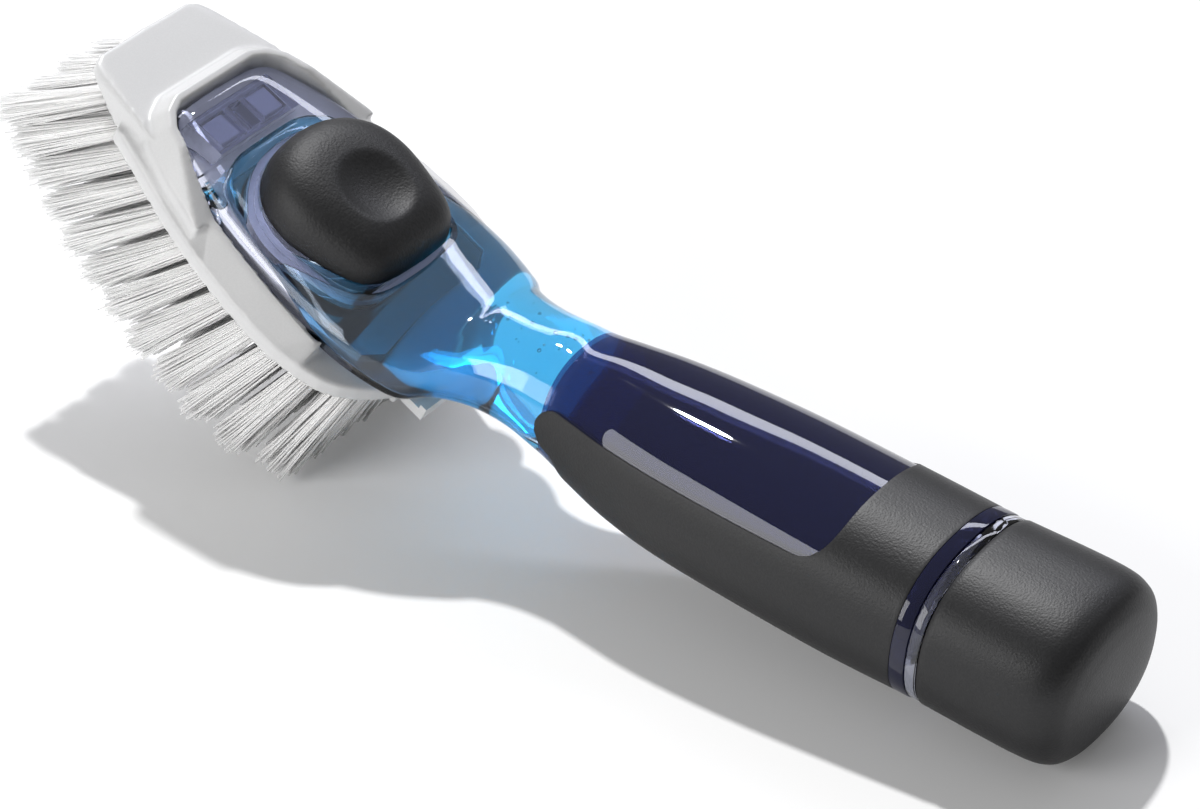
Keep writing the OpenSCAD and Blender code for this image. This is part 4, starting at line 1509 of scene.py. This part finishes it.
@dataclass
class Bristles:
    """Tufts in rows across the plate, each a bundle of filaments."""

    form: Form = field(default_factory=Form)
    length: float = 33.5
    root_r: float = 2.6
    tip_r: float = 4.1
    pitch: float = 6.9
    filament_r: float = 0.22
    filaments: int = 160
    half_w: float = 30.6
    nozzle_clear: float = 8.8
    first_row: float = 27.0
    past_nose: float = 14.0
    from_edge: float = 6.0
    leans: tuple[float, float, float] = (7.0, 27.0, 36.0)
    side_lean: float = 8.0
    bow: float = 0.9
    table_gap: float = 0.1

    def plate_half(self) -> Array:
        """Half outline of the plate, with the scraper.

        Returns:
            N x 2 half outline in the head's frame.
        """
        w, n = self.half_w, self.form.nose
        curve = smooth([[17.5, 0], [18, 9], [19.8, 16.5], [24, w - 7.4], [30, w - 2.4], [40.5, w],
                        [53.5, w - 0.4], [67.5, w - 2.4], [n - 12, w - 5], [n - 2, w - 8.2]], 2)
        tip = [[n + 10, 19.2], [n + 15, 17], [n + 18.4, 15], [n + 19.7, 12.6], [n + 20, 0]]
        return np.concatenate([curve, tip])

    def lean(self, u: float) -> float:
        """Forward lean of the tufts at a place along the head, in degrees.

        Args:
            u: place along the head.

        Returns:
            The lean.
        """
        t = (u - self.first_row) / (self.form.nose + self.past_nose - self.first_row)
        back, middle, front = self.leans
        return back * (2 * t - 1) * (t - 1) + middle * 4 * t * (1 - t) + front * t * (2 * t - 1)

    def rows(self) -> list[list[tuple[float, float, float, float]]]:
        """Each row's tufts as (u, y, forward lean, sideways lean).

        Returns:
            The rows, from the neck to the scraper.
        """
        half = self.plate_half()
        out = []
        for i in range(int((self.form.nose + self.past_nose - self.first_row) // self.pitch) + 1):
            u = self.first_row + i * self.pitch
            w = float(np.interp(u, half[:, 0], half[:, 1])) - self.from_edge
            n = max(2, round(2 * w / self.pitch) + 1)
            row = []
            for j in range(n):
                y = w * (2 * j / (n - 1) - 1)
                if math.hypot(u - self.form.button_at, y) > self.nozzle_clear:
                    row.append((u, y, self.lean(u), -self.side_lean * y / self.half_w))
            out.append(row)
        return out

    def tree(self) -> bpy.types.NodeTree:
        """Geometry nodes: filaments on each tuft's point, then realized.

        Returns:
            The tree.
        """
        name = "tuft_filaments"
        if name in bpy.data.node_groups:
            return bpy.data.node_groups[name]
        g = bpy.data.node_groups.new(name, "GeometryNodeTree")
        face = g.interface
        face.new_socket("Geometry", in_out="INPUT", socket_type="NodeSocketGeometry")
        for label, kind, value in (("Filaments", "NodeSocketInt", self.filaments),
                                   ("Root Radius", "NodeSocketFloat", self.root_r * MM),
                                   ("Tip Radius", "NodeSocketFloat", self.tip_r * MM),
                                   ("Length", "NodeSocketFloat", self.length * MM),
                                   ("Filament Radius", "NodeSocketFloat", self.filament_r * MM),
                                   ("Bow", "NodeSocketFloat", self.bow * MM),
                                   ("Seed", "NodeSocketInt", 7)):
            face.new_socket(label, in_out="INPUT", socket_type=kind).default_value = value
        face.new_socket("Geometry", in_out="OUTPUT", socket_type="NodeSocketGeometry")
        t = Tree(g)
        src, dst = g.nodes.new("NodeGroupInput"), g.nodes.new("NodeGroupOutput")
        seed = src.outputs["Seed"]

        def rand(low: float, high: float, step: int) -> Socket:
            """A random value for each filament.

            Args:
                low: least value.
                high: greatest value.
                step: added to the seed, so that each use differs.

            Returns:
                The value.
            """
            node = t.add("FunctionNodeRandomValue", data_type="FLOAT")
            node.inputs[2].default_value, node.inputs[3].default_value = low, high
            g.links.new(t.math("ADD", seed, float(step)), node.inputs["Seed"])
            return node.outputs[1]

        def scaled(vec: Socket | tuple[float, float, float], by: Any) -> Socket:
            """A vector times a value.

            Args:
                vec: the vector.
                by: the value.

            Returns:
                The product.
            """
            node = t.add("ShaderNodeVectorMath", operation="SCALE")
            if isinstance(vec, tuple):
                node.inputs[0].default_value = vec
            else:
                g.links.new(vec, node.inputs[0])
            g.links.new(by, node.inputs["Scale"])
            return node.outputs[0]

        def plus(a: Any, b: Any) -> Socket:
            """The sum of two vectors."""
            return t.add("ShaderNodeVectorMath", {0: a, 1: b}, operation="ADD").outputs[0]

        u_axis, y_axis, _ = (tuple(float(c) for c in v) for v in PLACE.head_axes())
        many = t.add("GeometryNodeDuplicateElements", {"Geometry": src.outputs["Geometry"],
                                                       "Amount": src.outputs["Filaments"]}, domain="POINT")
        angle = rand(0, 2 * math.pi, 1)
        out = t.math("SQRT", rand(0, 1, 2))
        across = plus(scaled(u_axis, t.math("MULTIPLY", t.math("COSINE", angle), out)),
                      scaled(y_axis, t.math("MULTIPLY", t.math("SINE", angle), out)))
        stored = many.outputs["Geometry"]
        for label, kind, value in (("across", "FLOAT_VECTOR", across), ("tone", "FLOAT", rand(0, 1, 3)),
                                   ("bow", "FLOAT_VECTOR", None)):
            if value is None:
                node = t.add("FunctionNodeRandomValue", data_type="FLOAT_VECTOR")
                node.inputs[0].default_value, node.inputs[1].default_value = (-1, -1, -0.2), (1, 1, 0.6)
                g.links.new(seed, node.inputs["Seed"])
                value = node.outputs[0]
            stored = t.add("GeometryNodeStoreNamedAttribute", {"Geometry": stored, "Name": label,
                                                               "Value": value},
                           data_type=kind, domain="POINT").outputs[0]

        def named(label: str, kind: str) -> Socket:
            """Reads a stored attribute."""
            return t.add("GeometryNodeInputNamedAttribute", {"Name": label}, data_type=kind).outputs[0]

        across = named("across", "FLOAT_VECTOR")
        grow = named("grow", "FLOAT_VECTOR")
        root_r, thin = src.outputs["Root Radius"], src.outputs["Filament Radius"]
        moved = t.add("GeometryNodeSetPosition", {"Geometry": stored, "Offset": scaled(across, root_r)})
        spread = t.math("SUBTRACT", src.outputs["Tip Radius"], root_r)
        aim = plus(scaled(grow, src.outputs["Length"]), scaled(across, spread))
        turn = t.add("FunctionNodeAlignRotationToVector", {"Vector": aim}, axis="Z")
        straw = t.add("GeometryNodeMeshCone", {"Vertices": 5, "Side Segments": 4, "Radius Top": 0.86,
                                               "Radius Bottom": 1.0, "Depth": 1.0})
        place = t.add("GeometryNodeInputPosition").outputs[0]
        height = t.add("ShaderNodeSeparateXYZ", {0: place}).outputs[2]
        marked = t.add("GeometryNodeStoreNamedAttribute", {"Geometry": straw.outputs["Mesh"],
                                                           "Name": "along", "Value": height},
                       data_type="FLOAT", domain="POINT")
        long = t.math("MULTIPLY", src.outputs["Length"], rand(0.93, 0.985, 5))
        size = t.add("ShaderNodeCombineXYZ", {0: thin, 1: thin, 2: long}).outputs[0]
        put = t.add("GeometryNodeInstanceOnPoints", {"Points": moved.outputs[0],
                                                     "Instance": marked.outputs[0],
                                                     "Rotation": turn.outputs[0], "Scale": size})
        real = t.add("GeometryNodeRealizeInstances", {"Geometry": put.outputs[0]})
        along = named("along", "FLOAT")
        amount = t.math("MULTIPLY", t.math("MULTIPLY", along, along), src.outputs["Bow"])
        bent = t.add("GeometryNodeSetPosition", {"Geometry": real.outputs[0],
                                                 "Offset": scaled(named("bow", "FLOAT_VECTOR"), amount)})
        soft = t.add("GeometryNodeSetShadeSmooth", {"Geometry": bent.outputs[0]})
        paint = t.add("GeometryNodeSetMaterial", {"Geometry": soft.outputs[0], "Material": NYLON.material()})
        g.links.new(paint.outputs[0], dst.inputs[0])
        return g

    def group(self, name: str, tufts: Sequence[tuple[float, float, float, float]], seed: int) -> Obj:
        """The filaments of some rows as one mesh.

        Args:
            name: name of the piece.
            tufts: the tufts as (u, y, forward lean, sideways lean).
            seed: start of the random values.

        Returns:
            The object.
        """
        u_axis, y_axis, n_axis = PLACE.head_axes()
        points = PLACE.head(np.array([[u, y, self.form.plate_bottom + 0.4] for u, y, _, _ in tufts]))
        mesh = raw_mesh(name, points)
        grow = mesh.attributes.new("grow", "FLOAT_VECTOR", "POINT")
        for item, (_, _, a, s) in zip(grow.data, tufts):
            a, s = math.radians(a), math.radians(s)
            along = math.sin(a) * u_axis - math.cos(a) * n_axis
            item.vector = math.cos(s) * along - math.sin(s) * y_axis
        obj = linked(name, mesh)
        mod = obj.modifiers.new("filaments", "NODES")
        mod.node_group = self.tree()
        ids = {s.name: s.identifier for s in mod.node_group.interface.items_tree if s.in_out == "INPUT"}
        mod[ids["Seed"]] = seed
        mod[ids["Filaments"]] = self.filaments
        bake(obj, None)
        co = read_points(obj.data)
        co[:, 2] = np.maximum(co[:, 2], self.table_gap * MM)
        write_points(obj.data, co)
        return obj


@dataclass
class BrushHead:
    """White plate with collar and scraper, its tufts and its release tab."""

    form: Form = field(default_factory=Form)
    bristles: Bristles = field(default_factory=Bristles)
    voxel_mm: float = 0.5
    first_seed: int = 11
    seed_step: int = 20
    tab_edge: float = 0.25

    def plate(self, frame: dict[str, Any]) -> Obj:
        """The plate with every edge softened as a moulded part's are.

        Args:
            frame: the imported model.

        Returns:
            The object.
        """
        src = frame["nodes"]["brush_plate"]
        work = bmesh.new()
        work.from_mesh(src.data)
        bmesh.ops.remove_doubles(work, verts=work.verts, dist=1e-6)
        origin = PLACE.head(np.zeros((1, 3)))[0]
        axes = np.array(PLACE.head_axes())
        for v in work.verts:
            v.co = axes @ (np.array(v.co) - origin)
        mesh = bpy.data.meshes.new("brush_plate_smooth")
        work.to_mesh(mesh)
        work.free()
        obj = linked("brush_plate_smooth", mesh)
        block = obj.modifiers.new("skin", "REMESH")
        block.mode = "VOXEL"
        block.voxel_size = self.voxel_mm * MM
        block.adaptivity = 0.0
        relax = obj.modifiers.new("relax", "SMOOTH")
        relax.factor = 0.5
        relax.iterations = 5
        bake(obj, None)
        write_points(obj.data, read_points(obj.data) @ axes + origin)
        obj.data.shade_smooth()
        return obj

    def build(self, frame: dict[str, Any]) -> None:
        """Makes and dresses the brush head's pieces.

        Args:
            frame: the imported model.
        """
        dress(self.plate(frame), WHITE_SATIN, "brush_head", ["brush_plate"])
        rows = self.bristles.rows()
        cuts = [0, len(rows) // 4, len(rows) // 2, 3 * len(rows) // 4, len(rows)]
        for k, where in enumerate(("back", "aft", "fore", "front")):
            tufts = [t for row in rows[cuts[k]:cuts[k + 1]] for t in row]
            made = self.bristles.group(f"bristles_{where}", tufts, self.first_seed + self.seed_step * k)
            dress(made, NYLON, "brush_head", [f"tufts_{where}"])
        dress_node(frame, "tuft_anchors", WIRE)
        tab = frame["nodes"]["release_tab"]
        weld = tab.modifiers.new("weld", "WELD")
        weld.merge_threshold = 1e-6
        soft = tab.modifiers.new("edge", "BEVEL")
        soft.width = self.tab_edge * MM
        soft.segments = 2
        soft.limit_method = "ANGLE"
        dress_node(frame, "release_tab", WHITE_SATIN)


# Studio


@dataclass(frozen=True)
class Lamp:
    """One long area lamp."""

    name: str
    place: tuple[float, float, float]
    size: tuple[float, float]
    watts: float
    colour: tuple[float, float, float] = (1.0, 1.0, 1.0)

    def make(self) -> Obj:
        """Puts the lamp up, aimed at the wand.

        Returns:
            The lamp.
        """
        data = bpy.data.lights.new(self.name, "AREA")
        data.shape = "RECTANGLE"
        data.size, data.size_y = self.size
        data.energy = self.watts
        data.color = self.colour
        lamp = linked(self.name, data)
        lamp.location = self.place
        lamp.rotation_euler = aimed(np.array([0, 0, 0.03]) - np.array(self.place))
        return lamp


@dataclass
class Studio:
    """White table, soft lamps and the camera at the photograph's viewing angle."""

    camera_at: tuple[float, float, float] = (-218.5, 475.2, 465.4)
    azimuth: float = 125.2
    elevation: float = 38.44
    roll: float = 3.34
    lens: float = 115.94
    floor_glow: float = 0.06
    floor_half: float = 6.0
    floor_z: float = -0.0004
    sky: float = 0.22
    sky_through: float = 1.0
    sky_in_gloss: float = 0.22
    key: float = 2.4
    key_travel: tuple[float, float, float] = (-0.45, 0.465, -1.0)
    key_angle: float = 2.5

    def floor(self) -> Obj:
        """The table: white to the eye, and grey only in shadow.

        Returns:
            The table.
        """
        corners = [(x * self.floor_half, y * self.floor_half, self.floor_z)
                   for x, y in ((-1, -1), (1, -1), (1, 1), (-1, 1))]
        mesh = raw_mesh("table_top", corners, [(0, 1, 2, 3)])
        obj = linked("table_top", mesh)
        mat = bpy.data.materials.new("white_table")
        mat.use_nodes = True
        mat.node_tree.nodes.clear()
        t = Tree(mat.node_tree)
        paths = t.add("ShaderNodeLightPath")
        seen = t.math("MAXIMUM", paths.outputs["Is Camera Ray"],
                      t.math("MAXIMUM", paths.outputs["Is Glossy Ray"], paths.outputs["Is Transmission Ray"]))
        glow = t.add("ShaderNodeEmission", {"Color": (1, 1, 1, 1),
                                            "Strength": t.math("MULTIPLY", seen, self.floor_glow)})
        base = t.add("ShaderNodeBsdfDiffuse", {"Color": (0.9, 0.9, 0.9, 1)})
        both = t.add("ShaderNodeAddShader", {0: glow.outputs[0], 1: base.outputs[0]})
        t.add("ShaderNodeOutputMaterial", {"Surface": both.outputs[0]})
        mesh.materials.append(mat)
        return obj

    def world(self) -> None:
        """White surroundings, seen at full strength and lighting at a plain level."""
        world = bpy.data.worlds.new("studio_world")
        world.use_nodes = True
        world.node_tree.nodes.clear()
        t = Tree(world.node_tree)
        paths = t.add("ShaderNodeLightPath")
        gloss = t.add("ShaderNodeMapRange", {"Value": paths.outputs["Is Glossy Ray"], "To Min": self.sky,
                                             "To Max": self.sky_in_gloss}).outputs[0]
        through = t.add("ShaderNodeMapRange", {"Value": paths.outputs["Is Transmission Ray"], "To Min": gloss,
                                               "To Max": self.sky_through}).outputs[0]
        power = t.math("MAXIMUM", paths.outputs["Is Camera Ray"], through)
        back = t.add("ShaderNodeBackground", {"Color": (1, 1, 1, 1), "Strength": power})
        t.add("ShaderNodeOutputWorld", {"Surface": back.outputs[0]})
        bpy.context.scene.world = world

    def sun(self) -> Obj:
        """The hard key light from the upper right, behind the wand.

        Returns:
            The lamp.
        """
        data = bpy.data.lights.new("key_light", "SUN")
        data.energy = self.key
        data.angle = math.radians(self.key_angle)
        lamp = linked("key_light", data)
        lamp.rotation_euler = aimed(self.key_travel)
        return lamp

    def camera(self) -> Obj:
        """The camera, solved from outlines in the photograph.

        Returns:
            The camera.
        """
        az, el, roll = (math.radians(v) for v in (self.azimuth, self.elevation, self.roll))
        back = np.array([math.cos(el) * math.cos(az), math.cos(el) * math.sin(az), math.sin(el)])
        right = np.cross(-back, [0, 0, 1])
        right /= np.linalg.norm(right)
        up = np.cross(right, -back)
        r2 = math.cos(roll) * right + math.sin(roll) * up
        u2 = -math.sin(roll) * right + math.cos(roll) * up
        at = np.array(self.camera_at)
        o = PLACE.handle(at[None])[0]
        cols = [(PLACE.handle((at + v)[None])[0] - o) / MM for v in (r2, u2, back)]
        rows = [[cols[c][r] for c in range(3)] + [o[r]] for r in range(3)]
        data = bpy.data.cameras.new("photo_camera")
        data.lens = self.lens
        data.sensor_width = 36
        data.sensor_fit = "HORIZONTAL"
        data.clip_start = 0.01
        cam = linked("photo_camera", data)
        cam.matrix_world = mathutils.Matrix([*rows, [0, 0, 0, 1]])
        bpy.context.scene.camera = cam
        return cam

    def build(self) -> None:
        """Sets up table, surroundings, lamps and camera."""
        self.floor()
        self.world()
        self.sun()
        Lamp("streak_lamp", (0.35, -0.75, 0.75), (1.5, 0.1), 4.0, (0.86, 0.88, 1.0)).make()
        Lamp("bristle_fill", (0.25, 0.6, 0.3), (0.4, 0.4), 2.4).make()
        self.camera()
        bpy.context.scene.view_settings.view_transform = "Standard"


def main() -> None:
    """Builds the wand's sub-assemblies in order."""
    logging.basicConfig(level=logging.INFO, format="%(message)s")
    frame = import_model()
    for part in (ScrewCap(), Handle(), ThumbPump(), BrushHead()):
        LOG.info("building %s", type(part).__name__)
        part.build(frame)
    Studio().build()


if __name__ == "__main__":
    main()
